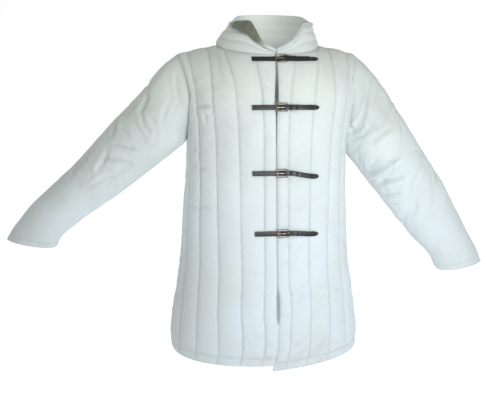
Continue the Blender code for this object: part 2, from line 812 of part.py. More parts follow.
def collar_column(side, place, point, edge):
    """Outer points of the collar above one place of the neckline, and the width of its turned edge."""
    read = {field: smooth_between(COLLAR, "place", field, place) for field in ("height", "lean", "turned")}
    inward = unit(np.array([-point[0], -point[1], 0.0]))
    start = point + edge * COLLAR_GAP
    up = np.array([0.0, 0.0, 1.0])
    sideways = np.array([COLLAR_TOP_SHIFT * smoothstep(read["height"], *COLLAR_SHIFT_HEIGHTS), 0.0, 0.0])
    top = point + up * read["height"] + inward * read["lean"] * COLLAR_LEAN_SHARE[side] + sideways
    length = np.linalg.norm(top - start)
    standing = COLLAR_ROWS - TURNED_ROWS
    curve = hermite(start, unit(up + inward * COLLAR_LEAVE_LEAN) * length, top, unit(top - start) * length,
                    np.linspace(0, 1, standing + 1))
    column = [curve[row] for row in range(standing + 1)]
    turned = read["turned"] * COLLAR_TURNED_SHARE[side]
    if turned < TURNED_LEAST:
        turned = 0.0
    rest = max(TURNED_ROWS * COLLAR_LIP - turned, 0.0)
    along = unit(top - start)
    off = unit(along * np.dot(inward, along) - inward)
    stand_off = TURNED_BEND * smoothstep(turned, 0.0, TURNED_SOFT) + TURNED_SPREAD * turned
    for row in range(1, TURNED_ROWS + 1):
        share = row / TURNED_ROWS
        over = off * stand_off * math.sin(share * math.pi / 2)
        down = turned * (TURNED_CREST * math.sin(share * math.pi) - TURNED_DOWN * share * share)
        column.append(top + over + along * (down + rest * share))
    return column, turned


def collar_object(panels):
    """The standing collar, one band from the right front edge round the back to the left."""
    columns, turned, ends = [], [], []
    for side in ("right", "left"):
        places, shares = neck_places(panels["front", side], panels["back", side])
        made = [(collar_column(side, s, point, edge), (way, edge))
                for s, (point, way, edge) in zip(shares, places)]
        if side == "left":
            made = list(reversed(made))
            centre_points = [(a + b) / 2 for a, b in zip(columns[-1], made[0][0][0])]
            columns[-1] = centre_points
            made = made[1:]
        columns.extend(column for (column, _), _ in made)
        turned.extend(width for (_, width), _ in made)
        ends.extend(place for _, place in made)
    outer = {(row, i): column[row] for i, column in enumerate(columns) for row in range(COLLAR_ROWS + 1)}
    faces = [((r, i), (r, i + 1), (r + 1, i + 1), (r + 1, i))
             for r in range(COLLAR_ROWS) for i in range(len(columns) - 1)]

    def pointing(face):
        a, b, c, d = (outer[key] for key in face)
        return np.cross(d - b, c - a)

    # The way out is carried on over the crest, so the turned edge faces down
    ways = outward(outer, faces, pointing)
    outside, inside, index = [], [], {}
    standing = COLLAR_ROWS - TURNED_ROWS
    for (row, i), point in outer.items():
        index[row, i] = len(outside)
        t = min(row / standing, 1.0)
        low = max(line for line in COLLAR_LINES if line <= t + 1e-9)
        high = min((line for line in COLLAR_LINES if line > t + 1e-9), default=1.0)
        swell = math.sin(math.pi * (t - low) / (high - low)) if high > low and row else 0.0
        end_fade = smoothstep(min(i, len(columns) - 1 - i), 0.0, COLLAR_END_FADE)
        # The channel under a turned edge lies flat
        if low >= COLLAR_LINES[-2]:
            end_fade *= 1 - smoothstep(turned[i], 0.0, TURNED_SOFT)
        if row == 0:
            way, edge = ends[i]
            fold_back = smoothstep(EDGE_TURN - edge[2], 0.0, EDGE_TURN)
            thickness = unit((1 - fold_back) * -way + fold_back * edge)
            outside.append(point)
            inside.append(point + thickness * SEAM_WALL)
        else:
            outside.append(point + ways[row, i] * COLLAR_RISE * max(swell, 0.0) * end_fade)
            inside.append(point - ways[row, i] * SEAM_WALL)
    faces = [tuple(index[key] for key in face) for face in faces]
    return wall_between("collar", outside, inside, faces, CLOTH)


# Straps and buckles

def front_triangles(panels):
    """Triangles of both fronts' raised outer surface, as one array."""
    found = []
    for side in ("right", "left"):
        panel = panels["front", side]
        for a, b, c, d in panel.faces:
            p = panel.outside
            found.append((p[a], p[b], p[c]))
            found.append((p[a], p[c], p[d]))
    return np.array(found)


def front_y(triangles, x, z):
    """Foremost y of the fronts at one x and z, or None over the gap between them."""
    a, b, c = (triangles[:, i][:, [0, 2]] for i in range(3))
    p = np.array([x, z])
    first, second, third = b - a, c - a, p - a
    area = first[:, 0] * second[:, 1] - first[:, 1] * second[:, 0]
    area = np.where(np.abs(area) < 1e-12, 1e-12, area)
    v = (third[:, 0] * second[:, 1] - third[:, 1] * second[:, 0]) / area
    w = (first[:, 0] * third[:, 1] - first[:, 1] * third[:, 0]) / area
    hit = (v >= -1e-6) & (w >= -1e-6) & (v + w <= 1 + 1e-6)
    if not hit.any():
        return None
    y = triangles[:, 0, 1] + v * (triangles[:, 1, 1] - triangles[:, 0, 1])
    y = y + w * (triangles[:, 2, 1] - triangles[:, 0, 1])
    return float(y[hit].min())


def taut_line(xs, ys):
    """Line of a strap pulled tight over a profile: its outermost bridge towards -Y."""
    chain = []
    for p in zip(xs, ys):
        while len(chain) > 1:
            (x1, y1), (x2, y2) = chain[-2:]
            if (x2 - x1) * (p[1] - y1) - (y2 - y1) * (p[0] - x1) <= 0:
                chain.pop()
            else:
                break
        chain.append(p)
    return np.interp(xs, [p[0] for p in chain], [p[1] for p in chain])


@dataclass
class StrapLine:
    """The line on the fronts that one strap follows, with its local ways."""

    xs: np.ndarray
    low: np.ndarray
    high: np.ndarray
    middle_z: np.ndarray

    def place(self, x, out, up):
        """World point at x along the line, out from the cloth and up along the strap's width."""
        low_y = np.interp(x, self.xs, self.low)
        high_y = np.interp(x, self.xs, self.high)
        z = np.interp(x, self.xs, self.middle_z)
        wide = unit(np.array([0.0, high_y - low_y, STRAP_WIDTH]))
        middle = (self.low + self.high) / 2
        ahead, behind = np.interp((x + SLOPE_STEP, x - SLOPE_STEP), self.xs, middle)
        slope_y = (ahead - behind) / (2 * SLOPE_STEP)
        along = unit(np.array([1.0, slope_y, 0.0]))
        away = unit(np.cross(along, wide))
        centre = np.array([x, (low_y + high_y) / 2, z])
        return centre + wide * up + away * out


def strap_line(triangles, closure):
    """Measure the fronts under a strap along its upper and lower edge and pull it tight."""
    xs = np.linspace(closure.left_end - LINE_MARGIN, closure.right_end + LINE_MARGIN, LINE_STEPS)
    droop = closure.droop * smoothstep(xs, closure.bar_x, closure.bar_x + DROOP_REACH)
    middle_z = closure.z - droop
    lines = {}
    for name, off in (("low", -1.0), ("mid", 0.0), ("high", 1.0)):
        ys = [front_y(triangles, x, z + off * STRAP_WIDTH / 2) for x, z in zip(xs, middle_z)]
        known = [i for i, y in enumerate(ys) if y is not None]
        ys = np.interp(range(len(xs)), known, [ys[i] for i in known])
        lines[name] = taut_line(xs, ys)
    bulge = np.maximum((lines["low"] + lines["high"]) / 2 - lines["mid"], 0.0)
    off = bulge + SEAM_GAP + CHORD_PLAY
    return StrapLine(xs, lines["low"] - off, lines["high"] - off, middle_z)


@dataclass(frozen=True)
class Stop:
    """One station of a leather band: x, height of its middle line over the cloth, width share."""

    x: float
    out: float
    width: float
    slotted: bool


def band_object(name, line, stops, thick, width, finish):
    """A flat band along a path in a strap's own plane, with a slot where its stops say so."""
    path = np.array([(s.x, s.out) for s in stops])
    ways = unit(np.gradient(path, axis=0))
    normals = np.stack([-ways[:, 1], ways[:, 0]], axis=1)
    has_slot = any(s.slotted for s in stops)
    shares = (-1.0, -SLOT_HALF * 2 / width, SLOT_HALF * 2 / width, 1.0) if has_slot else (-1.0, 1.0)
    outside, inside = [], []
    for (x, out), (nx, nout), stop in zip(path, normals, stops):
        for share in shares:
            reach = stop.width if abs(share) == 1.0 else min(stop.width * SLOT_EDGE, 1.0)
            up = share * width / 2 * reach
            outside.append(line.place(x + nx * thick / 2, out + nout * thick / 2, up))
            inside.append(line.place(x - nx * thick / 2, out - nout * thick / 2, up))
    many = len(shares)
    faces = []
    for i in range(len(stops) - 1):
        for j in range(many - 1):
            if has_slot and j == 1 and stops[i].slotted and stops[i + 1].slotted:
                continue
            faces.append((i * many + j, i * many + j + 1, (i + 1) * many + j + 1, (i + 1) * many + j))
    return wall_between(name, outside, inside, faces, finish)


# Heights over the cloth of the pieces that lie on each other at a buckle
BAR_OUT = TAB_THICK + SEAM_GAP + FRAME_WIRE
WRAP_RADIUS = FRAME_WIRE + SEAM_GAP + TAB_THICK / 2
TAB_TOP = BAR_OUT + FRAME_WIRE + SEAM_GAP + TAB_THICK
LEFT_BAR_OUT = STRAP_THICK + SEAM_GAP * 2 + FRAME_WIRE
DOUBLE_TOP = 2 * TAB_THICK + SEAM_GAP


def tab_stops(closure):
    """The folded strap that holds the buckle: along the cloth, round the bar and back on itself."""
    bar = closure.bar_x
    low = TAB_THICK / 2
    stops = [Stop(bar + STRAP_STEP * i, low, 1.0, i < 2) for i in range(TAB_STEPS, 0, -1)]
    for turn in np.linspace(-90, -270, TAB_TURN_STEPS):
        x = bar + WRAP_RADIUS * math.cos(math.radians(turn))
        stops.append(Stop(x, BAR_OUT + WRAP_RADIUS * math.sin(math.radians(turn)), 1.0, True))
    for i in range(1, TAB_RETURN_STEPS + 1):
        stops.append(Stop(bar + STRAP_STEP * i, tab_return_out(i), 1.0, i < 2))
    return stops


def tab_return_out(step):
    """Height of the middle of the tab's upper layer, a number of steps past the bar."""
    flat = DOUBLE_TOP - TAB_THICK / 2
    return flat + TAB_RETURN_RISE[step - 1]


def strap_out_past_bar(step):
    """Height of the strap's middle past the bar, where it lies on the tab and then on the cloth."""
    half = STRAP_THICK / 2
    if step <= TAB_RETURN_STEPS:
        return tab_return_out(step) + TAB_THICK / 2 + LEATHER_PLAY + half
    if step <= TAB_STEPS:
        return TAB_THICK + LEATHER_PLAY + half
    return half


def strap_stops(closure):
    """The long strap: along the right front, under the frame, over its bar and on to its point."""
    half = STRAP_THICK / 2
    bar = closure.bar_x
    left_bar = bar - FRAME_LENGTH
    flat_end = left_bar + RISE_START
    flat_steps = round((flat_end - closure.left_end) / STRAP_STEP)
    stops = [Stop(x, half, 1.0, False) for x in np.linspace(closure.left_end, flat_end, flat_steps)]
    over = TAB_TOP + SEAM_GAP + half
    rise_end = bar - RISE_CLEAR
    for i in range(1, RISE_STEPS + 1):
        t = i / RISE_STEPS
        height = half + (over - half) * float(smoothstep(t, 0, 1))
        stops.append(Stop(flat_end + (rise_end - flat_end) * t, height, 1.0, i > 2))
    stops.append(Stop(bar + CREST_PAST, over + CREST_UP, 1.0, False))
    steps = int((closure.right_end - TAIL_TAPER - bar) / STRAP_STEP)
    stops += [Stop(bar + STRAP_STEP * i, strap_out_past_bar(i), 1.0, False) for i in range(1, steps + 1)]
    shoulder, shoulder_width = TAIL_SHOULDER
    stops.append(Stop(closure.right_end - TAIL_TAPER * shoulder, half, shoulder_width, False))
    stops.append(Stop(closure.right_end, half, TAIL_TIP_WIDTH, False))
    return stops


def prong_stops(closure):
    """The prong: round the bar, up through the strap and on to the frame's far end."""
    radius = FRAME_WIRE + SEAM_GAP + PRONG_THICK / 2
    stops = []
    for turn in np.linspace(*PRONG_TURNS, PRONG_TURN_STEPS):
        x = closure.bar_x + radius * math.cos(math.radians(turn))
        stops.append(Stop(x, BAR_OUT + radius * math.sin(math.radians(turn)), 1.0, False))
    left_bar = closure.bar_x - FRAME_LENGTH
    rest = LEFT_BAR_OUT + FRAME_WIRE + SEAM_GAP + PRONG_THICK / 2
    past, lift, width = PRONG_MIDDLE
    stops.append(Stop(closure.bar_x - past, rest + lift, width, False))
    before, lift, width = PRONG_NECK
    stops.append(Stop(left_bar + before, rest + lift, width, False))
    beyond, width = PRONG_TIP
    stops.append(Stop(left_bar - beyond, rest, width, False))
    return stops


def frame_object(name, line, closure):
    """The buckle's frame: a round wire bent to a rectangle with rounded corners."""
    centre = closure.bar_x - FRAME_LENGTH / 2
    half_x, half_up, corner = FRAME_LENGTH / 2, FRAME_WIDTH / 2, FRAME_CORNER
    route = []
    for quarter in range(4):
        sign_x = (1, -1, -1, 1)[quarter]
        sign_up = (1, 1, -1, -1)[quarter]
        for i in range(3):
            turn = math.radians(90 * quarter + 45 * i)
            x = centre + sign_x * (half_x - corner) + corner * math.cos(turn)
            route.append((x, sign_up * (half_up - corner) + corner * math.sin(turn)))
    points, faces = [], []
    count = len(route)
    for i, (x, up) in enumerate(route):
        before, after = np.array(route[i - 1]), np.array(route[(i + 1) % count])
        along = unit(after - before)
        side = np.array([along[1], -along[0]])
        t = (x - (centre - half_x)) / FRAME_LENGTH
        height = LEFT_BAR_OUT + (BAR_OUT - LEFT_BAR_OUT) * t
        for k in range(FRAME_SIDES):
            turn = 2 * math.pi * (k + 0.5) / FRAME_SIDES
            off = side * math.cos(turn) * FRAME_WIRE
            points.append(line.place(x + off[0], height + FRAME_WIRE * math.sin(turn),
                                     up + off[1] + closure.lift))
    for i in range(count):
        j = (i + 1) % count
        for k in range(FRAME_SIDES):
            m = (k + 1) % FRAME_SIDES
            faces.append((i * FRAME_SIDES + k, i * FRAME_SIDES + m,
                          j * FRAME_SIDES + m, j * FRAME_SIDES + k))
    return add_object(name, points, faces, BRASS)


def closure_objects(number, closure, triangles):
    """All pieces of one closure."""
    line = strap_line(triangles, closure)
    band_object(f"strap_{number}", line, strap_stops(closure), STRAP_THICK, STRAP_WIDTH, LEATHER)
    band_object(f"buckle_tab_{number}", line, tab_stops(closure), TAB_THICK, STRAP_WIDTH, LEATHER)
    frame_object(f"buckle_frame_{number}", line, closure)
    band_object(f"buckle_prong_{number}", line, prong_stops(closure), PRONG_THICK, PRONG_WIDTH, BRASS)


def main():
    """Build every piece of the coat."""
    clear_scene()
    panels = {(face, side): dress_half(face, side)
              for face in ("front", "back") for side in ("right", "left")}
    panel_object("front_right", [panels["front", "right"]], CLOTH)
    panel_object("front_left", [panels["front", "left"]], CLOTH)
    panel_object("back", [panels["back", "right"], panels["back", "left"]], CLOTH)
    for side in ("right", "left"):
        sleeve_object(side, panels["front", side], panels["back", side])
    collar_object(panels)
    triangles = front_triangles(panels)
    for number, closure in enumerate(CLOSURES, start=1):
        closure_objects(number, closure, triangles)


main()
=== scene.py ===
"""Padded coat of the gambeson kind, dressed: quilting, creases, sewing, canvas, leather and brass.

Metres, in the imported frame: +Z up, the front faces -Y and +X is the wearer's left. Each cloth piece
repeats the form of its solid on a finer grid and lays the sewing and the creases over it.
"""

import logging
import math
from dataclasses import dataclass, field
from enum import Enum
from typing import Any, Callable, Iterable, Sequence

import bmesh
import bpy
import numpy as np
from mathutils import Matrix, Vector
from mathutils.bvhtree import BVHTree


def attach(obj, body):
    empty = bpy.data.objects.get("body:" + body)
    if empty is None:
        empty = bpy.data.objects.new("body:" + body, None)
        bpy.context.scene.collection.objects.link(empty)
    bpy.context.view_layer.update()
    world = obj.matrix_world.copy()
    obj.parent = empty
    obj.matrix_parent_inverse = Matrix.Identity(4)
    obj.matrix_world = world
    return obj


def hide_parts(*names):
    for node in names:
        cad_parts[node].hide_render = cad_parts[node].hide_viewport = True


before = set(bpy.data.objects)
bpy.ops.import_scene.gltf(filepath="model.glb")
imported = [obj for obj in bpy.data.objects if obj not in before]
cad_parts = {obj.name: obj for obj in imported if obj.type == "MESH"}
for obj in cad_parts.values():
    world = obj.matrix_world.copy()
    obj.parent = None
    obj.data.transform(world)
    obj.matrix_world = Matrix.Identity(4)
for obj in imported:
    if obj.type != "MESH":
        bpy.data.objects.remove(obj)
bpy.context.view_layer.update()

LOG = logging.getLogger("gambeson")
Array = np.ndarray


class Side(Enum):
    """The wearer's side, with the sign of its x."""

    RIGHT = -1.0
    LEFT = 1.0

    @property
    def word(self) -> str:
        """The side's word in a piece's name."""
        return self.name.lower()


class Face(Enum):
    """Front or back of the body, with the sign of its y."""

    FRONT = -1.0
    BACK = 1.0

    @property
    def word(self) -> str:
        """The face's word in a piece's name."""
        return self.name.lower()


SEAM_GAP = 0.0003
COLLAR_GAP = 0.0005
SEAM_WALL = 0.0032
QUILT_RISE = 0.0050
COLLAR_RISE = 0.0026
SLEEVE_PAD = 0.0022
SECTION_POWER = 2.45
SHOULDER_TIP = (0.257, -0.006)
NECK_POINT = (0.147, 0.019)
SHOULDER_CAMBER = 0.0015
NECK_FORWARD = 0.35
SHOULDER_FALL = 0.18
TIP_FALL = 0.10
YOKE_LEAVE = 1.15
YOKE_ARRIVE = 0.95
ARMHOLE_POWER = 1.6
NOTCH_Z = -0.132
UNDERARM_Z = {Side.RIGHT: -0.243, Side.LEFT: -0.280}
EDGE_TURN = 0.35
YOKE_ROWS = 6
SKIRT_ROWS = 13
CAP_ROWS = 5
SLEEVE_ROWS = 17

# How many fine strips and rows lie in one of the solid's
FINE_ACROSS = 6
FINE_YOKE = 6
FINE_SKIRT = 12
FINE_CAP = 6
FINE_SLEEVE = 8
FINE_COLLAR = 5


def unit(vectors: Array) -> Array:
    """Scale vectors to length one.

    Args:
        vectors: One vector or an array of them along the last axis.

    Returns:
        The same vectors at length one.
    """
    vectors = np.asarray(vectors, float)
    length = np.linalg.norm(vectors, axis=-1, keepdims=True)
    return vectors / np.maximum(length, 1e-12)


def smoothstep(value: Any, low: float, high: float) -> Array:
    """Rise smoothly from 0 at low to 1 at high.

    Args:
        value: Number or array.
        low: Where the rise starts.
        high: Where it ends.

    Returns:
        The risen values.
    """
    share = np.clip((np.asarray(value, float) - low) / (high - low), 0.0, 1.0)
    return share * share * (3.0 - 2.0 * share)


def hermite(start: Array, start_way: Array, end: Array, end_way: Array, t: Array) -> Array:
    """Points at t on the curves that leave start along start_way and reach end along end_way.

    Args:
        start: First points.
        start_way: Ways and speeds at the start.
        end: Last points.
        end_way: Ways and speeds at the end.
        t: Shares of the way, with a last axis of one.

    Returns:
        The points.
    """
    first = (2 * t**3 - 3 * t**2 + 1) * start + (t**3 - 2 * t**2 + t) * start_way
    return first + (3 * t**2 - 2 * t**3) * end + (t**3 - t**2) * end_way


class Table:
    """Rows of named numbers, read between the rows along a smooth curve with no overshoot."""

    def __init__(self, key: str, rows: Sequence[Any]) -> None:
        """Keep the rows in order of their key.

        Args:
            key: The column that the others are read by.
            rows: Dataclass rows.
        """
        self.key = key
        self.rows = sorted(rows, key=lambda row: getattr(row, key))

    def read(self, column: str, at: Any) -> Array:
        """Read one column at many places.

        Args:
            column: The column's name.
            at: Places, in the key's unit.

        Returns:
            One number for each place.
        """
        xs = np.array([getattr(row, self.key) for row in self.rows])
        ys = np.array([getattr(row, column) for row in self.rows])
        slopes = np.diff(ys) / np.diff(xs)
        tangents = np.concatenate([slopes[:1], np.zeros(len(xs) - 2), slopes[-1:]])
        for i in range(1, len(xs) - 1):
            if slopes[i - 1] * slopes[i] > 0:
                tangents[i] = 2 * slopes[i - 1] * slopes[i] / (slopes[i - 1] + slopes[i])
        at = np.clip(np.asarray(at, float), xs[0], xs[-1])
        i = np.clip(np.searchsorted(xs, at, side="right") - 1, 0, len(xs) - 2)
        step = xs[i + 1] - xs[i]
        t = (at - xs[i]) / step
        start = (1 + 2 * t) * (1 - t) ** 2 * ys[i] + t * (1 - t) ** 2 * step * tangents[i]
        return start + t * t * (3 - 2 * t) * ys[i + 1] + t * t * (t - 1) * step * tangents[i + 1]


class Lumps:
    """Smooth seeded unevenness over two lengths, the same on every run."""

    LATTICE = 128

    def __init__(self, seed: int) -> None:
        """Draw the lattice.

        Args:
            seed: Seed of this unevenness.
        """
        self.values = np.random.default_rng(seed).uniform(-1.0, 1.0, (self.LATTICE, self.LATTICE))

    def crumple(self, a: Array, b: Array) -> Array:
        """Smooth fields parted by narrow uneven creases.

        Args:
            a: First length over its period.
            b: Second length over its period.

        Returns:
            Numbers from -1 in a crease to about 0.3 between.
        """
        bend = 0.5 * self.at(a * 0.5 + 31, b * 0.3 + 17)
        first = np.abs(self.at(a, b + bend))
        second = np.abs(self.at(a * 1.4 + 57, b * 0.7 + 83 - bend))
        first = np.maximum(1 - first / 0.24, 0.0) ** 1.3
        first = first * smoothstep(self.at(a * 1.1 + 5, b * 0.6), -0.5, 0.3)
        second = np.maximum(1 - second / 0.20, 0.0) ** 1.3
        second = second * smoothstep(self.at(a + 71, b * 0.6 + 9), -0.2, 0.5)
        return 0.3 * self.at(a * 0.7 + 7, b * 0.7 + 3) - np.minimum(first + 0.7 * second, 1.0)

    def at(self, a: Array, b: Array) -> Array:
        """Read the unevenness.

        Args:
            a: First length over its period.
            b: Second length over its period.

        Returns:
            Numbers from -1 to 1.
        """
        a, b = np.broadcast_arrays(np.asarray(a, float), np.asarray(b, float))
        i, j = np.floor(a).astype(int), np.floor(b).astype(int)
        u, v = a - i, b - j
        u, v = u * u * (3 - 2 * u), v * v * (3 - 2 * v)
        i0, j0, i1, j1 = (k % self.LATTICE for k in (i, j, i + 1, j + 1))
        low = self.values[i0, j0] * (1 - u) + self.values[i1, j0] * u
        high = self.values[i0, j1] * (1 - u) + self.values[i1, j1] * u
        return low * (1 - v) + high * v


def nearest(points: Array, targets: Array) -> tuple[Array, Array]:
    """Distance from each point to the nearest target, and which it is.

    Args:
        points: (n, 3) points.
        targets: (m, 3) points.

    Returns:
        (n,) distances and (n,) indexes.
    """
    far, which = [], []
    for block in np.array_split(points, max(1, len(points) // 2000)):
        apart = np.linalg.norm(block[:, None] - targets[None], axis=2)
        which.append(apart.argmin(1))
        far.append(apart.min(1))
    return np.concatenate(far), np.concatenate(which)


@dataclass(frozen=True)
class Section:
    """One level cut through the body of the coat."""

    z: float
    half_width: float
    front: float
    back: float
    shift: float


@dataclass(frozen=True)
class Column:
    """A line that runs down a panel, as a share of the way from the centre to the side seam."""

    chest: float
    hem: float
    stitched: bool
    steps: int


@dataclass(frozen=True)
class Edge:
    """Where the two front edges stand at one height."""

    z: float
    middle: float
    gap: float


@dataclass(frozen=True)
class CollarStation:
    """The collar's cut at one place, from the centre front (0) over the neck point (0.5) to the back (1)."""

    place: float
    height: float
    lean: float
    turned: float


@dataclass(frozen=True)
class SleeveRing:
    """One cut across a sleeve; out is away from the body, tilt is the across axis above level."""

    along: float
    out: float
    forward: float
    z: float
    across: float
    deep: float
    tilt: float


@dataclass(frozen=True)
class Fold:
    """A soft fold across a sleeve: where it lies, its reach, its rise and its slant."""

    along: float
    angle: float
    half_length: float
    half_angle: float
    rise: float
    slant: float


@dataclass(frozen=True)
class Closure:
    """One strap and buckle across the front opening."""

    z: float
    left_end: float
    right_end: float
    bar_x: float
    droop: float
    lift: float


@dataclass(frozen=True)
class Crease:
    """A soft trough in the cloth with a ridge beside it, along a short path seen from the front or back."""

    path: tuple
    width: float
    depth: float
    ridge: float = 0.5


TORSO = (
    Section(z=-0.132, half_width=0.242, front=0.146, back=0.130, shift=0.003),
    Section(z=-0.260, half_width=0.229, front=0.156, back=0.126, shift=-0.002),
    Section(z=-0.360, half_width=0.231, front=0.161, back=0.119, shift=-0.005),
    Section(z=-0.490, half_width=0.239, front=0.165, back=0.121, shift=-0.009),
    Section(z=-0.585, half_width=0.244, front=0.170, back=0.130, shift=-0.010),
    Section(z=-0.670, half_width=0.256, front=0.177, back=0.143, shift=-0.011),
    Section(z=-0.800, half_width=0.275, front=0.189, back=0.162, shift=-0.012),
    Section(z=-0.895, half_width=0.279, front=0.195, back=0.171, shift=-0.012),
)
FRONT_COLUMNS = (
    Column(chest=0.00, hem=0.00, stitched=True, steps=0),
    Column(chest=0.11, hem=0.093, stitched=True, steps=2),
    Column(chest=0.335, hem=0.248, stitched=True, steps=4),
    Column(chest=0.47, hem=0.350, stitched=False, steps=2),
    Column(chest=0.55, hem=0.416, stitched=True, steps=2),
    Column(chest=0.72, hem=0.587, stitched=True, steps=3),
    Column(chest=0.80, hem=0.680, stitched=False, steps=2),
    Column(chest=0.86, hem=0.757, stitched=True, steps=1),
    Column(chest=0.95, hem=0.900, stitched=True, steps=2),
    Column(chest=1.00, hem=1.00, stitched=True, steps=2),
)
BACK_COLUMNS = (Column(chest=0.00, hem=0.00, stitched=False, steps=0), *FRONT_COLUMNS[1:])
NECK_COLUMN = 3
NOTCH_COLUMN = 6
FULL_CHANNEL = 0.12
LEAST_RISE = 0.55
NECK_LINE = {Face.FRONT: (0.117, -0.008), Face.BACK: (0.082, 0.026)}
HEM_Z = {
    (Face.FRONT, Side.RIGHT): (-0.876, -0.850),
    (Face.FRONT, Side.LEFT): (-0.892, -0.853),
    (Face.BACK, Side.RIGHT): (-0.866, -0.850),
    (Face.BACK, Side.LEFT): (-0.866, -0.853),
}
HEM_CURVE = {
    (Face.FRONT, Side.RIGHT): 2.0,
    (Face.FRONT, Side.LEFT): 1.1,
    (Face.BACK, Side.RIGHT): 2.0,
    (Face.BACK, Side.LEFT): 2.0,
}
FRONT_EDGES = (
    Edge(z=0.000, middle=0.0070, gap=0.0060),
    Edge(z=-0.030, middle=0.0065, gap=0.0105),
    Edge(z=-0.135, middle=0.0040, gap=0.0110),
    Edge(z=-0.180, middle=0.0032, gap=0.0036),
    Edge(z=-0.300, middle=0.0020, gap=0.0016),
    Edge(z=-0.640, middle=0.0024, gap=0.0012),
    Edge(z=-0.690, middle=0.0036, gap=0.0092),
    Edge(z=-0.738, middle=0.0040, gap=0.0100),
    Edge(z=-0.764, middle=0.0034, gap=0.0018),
    Edge(z=-0.820, middle=0.0020, gap=0.0012),
    Edge(z=-0.895, middle=-0.0160, gap=0.0014),
)
COLLAR = (
    CollarStation(place=0.00, height=0.012, lean=0.000, turned=0.004),
    CollarStation(place=0.08, height=0.030, lean=0.003, turned=0.008),
    CollarStation(place=0.15, height=0.058, lean=0.009, turned=0.024),
    CollarStation(place=0.21, height=0.078, lean=0.016, turned=0.030),
    CollarStation(place=0.33, height=0.074, lean=0.024, turned=0.020),
    CollarStation(place=0.50, height=0.062, lean=0.026, turned=0.004),
    CollarStation(place=0.72, height=0.078, lean=0.018, turned=0.000),
    CollarStation(place=1.00, height=0.081, lean=-0.004, turned=0.000),
)
COLLAR_TURNED_SHARE = {Side.RIGHT: 1.15, Side.LEFT: 0.35}
COLLAR_LEAN_SHARE = {Side.RIGHT: 1.40, Side.LEFT: 1.00}
COLLAR_TOP_SHIFT = 0.008
COLLAR_SHIFT_HEIGHTS = (0.02, 0.07)
COLLAR_LEAVE_LEAN = 0.15
COLLAR_LIP = 0.0036
TURNED_BEND = 0.0045
TURNED_SOFT = 0.006
TURNED_LEAST = (0.0020, 0.0045)
TURNED_SPREAD = 0.12
TURNED_DOWN = 0.85
TURNED_CREST = 0.30
STANDING_ROWS = 5
TURNED_ROWS = 3
COLLAR_LINES = (0.0, 0.34, 0.67, 1.0)
SLEEVES = {
    Side.RIGHT: (
        SleeveRing(along=0.00, out=0.315, forward=0.002, z=-0.197, across=0.0920, deep=0.088, tilt=47),
        SleeveRing(along=0.40, out=0.490, forward=0.006, z=-0.353, across=0.0725, deep=0.075, tilt=46),
        SleeveRing(along=0.66, out=0.590, forward=0.012, z=-0.432, across=0.0610, deep=0.066, tilt=50),
        SleeveRing(along=0.85, out=0.640, forward=0.016, z=-0.478, across=0.0590, deep=0.060, tilt=41),
        SleeveRing(along=1.00, out=0.680, forward=0.018, z=-0.534, across=0.0675, deep=0.058, tilt=12),
    ),
    Side.LEFT: (
        SleeveRing(along=0.00, out=0.337, forward=0.022, z=-0.268, across=0.0945, deep=0.079, tilt=35),
        SleeveRing(along=0.36, out=0.425, forward=0.050, z=-0.397, across=0.0870, deep=0.067, tilt=33),
        SleeveRing(along=0.66, out=0.494, forward=0.068, z=-0.502, across=0.0740, deep=0.061, tilt=32),
        SleeveRing(along=0.85, out=0.538, forward=0.080, z=-0.566, across=0.0630, deep=0.060, tilt=28),
        SleeveRing(along=1.00, out=0.568, forward=0.086, z=-0.624, across=0.0675, deep=0.060, tilt=12),
    ),
}
SLEEVE_FOLDS = {
    Side.RIGHT: (
        Fold(along=0.08, angle=70, half_length=0.05, half_angle=45, rise=-0.0050, slant=0.06),
        Fold(along=0.22, angle=95, half_length=0.05, half_angle=40, rise=-0.0040, slant=-0.05),
        Fold(along=0.36, angle=110, half_length=0.04, half_angle=45, rise=-0.0050, slant=0.08),
        Fold(along=0.45, angle=120, half_length=0.03, half_angle=35, rise=0.0030, slant=0.05),
        Fold(along=0.53, angle=130, half_length=0.04, half_angle=40, rise=-0.0045, slant=0.07),
        Fold(along=0.20, angle=255, half_length=0.05, half_angle=45, rise=-0.0045, slant=0.05),
        Fold(along=0.42, angle=240, half_length=0.05, half_angle=45, rise=-0.0050, slant=-0.06),
    ),
    Side.LEFT: (
        Fold(along=0.05, angle=75, half_length=0.05, half_angle=35, rise=-0.0055, slant=0.09),
        Fold(along=0.16, angle=120, half_length=0.05, half_angle=40, rise=-0.0050, slant=0.10),
        Fold(along=0.30, angle=80, half_length=0.04, half_angle=35, rise=0.0035, slant=0.08),
        Fold(along=0.42, angle=110, half_length=0.04, half_angle=60, rise=-0.0065, slant=0.09),
        Fold(along=0.53, angle=85, half_length=0.04, half_angle=40, rise=-0.0050, slant=0.06),
        Fold(along=0.22, angle=250, half_length=0.05, half_angle=45, rise=-0.0050, slant=-0.06),
        Fold(along=0.46, angle=235, half_length=0.05, half_angle=45, rise=-0.0050, slant=0.06),
    ),
}
CAP_EDGE_PULL = 1.2
CAP_FULLNESS = 0.9
CAP_MEETS = 0.02
PAD_FULL = (0.12, 0.95)
CLOSURES = (
    Closure(z=-0.0205, left_end=-0.061, right_end=0.129, bar_x=0.0350, droop=0.000, lift=0.0010),
    Closure(z=-0.1520, left_end=-0.065, right_end=0.124, bar_x=0.0320, droop=0.001, lift=0.0008),
    Closure(z=-0.3320, left_end=-0.066, right_end=0.122, bar_x=0.0310, droop=0.012, lift=0.0000),
    Closure(z=-0.5000, left_end=-0.061, right_end=0.121, bar_x=0.0330, droop=0.006, lift=0.0000),
)
STRAP_WIDTH = 0.0140

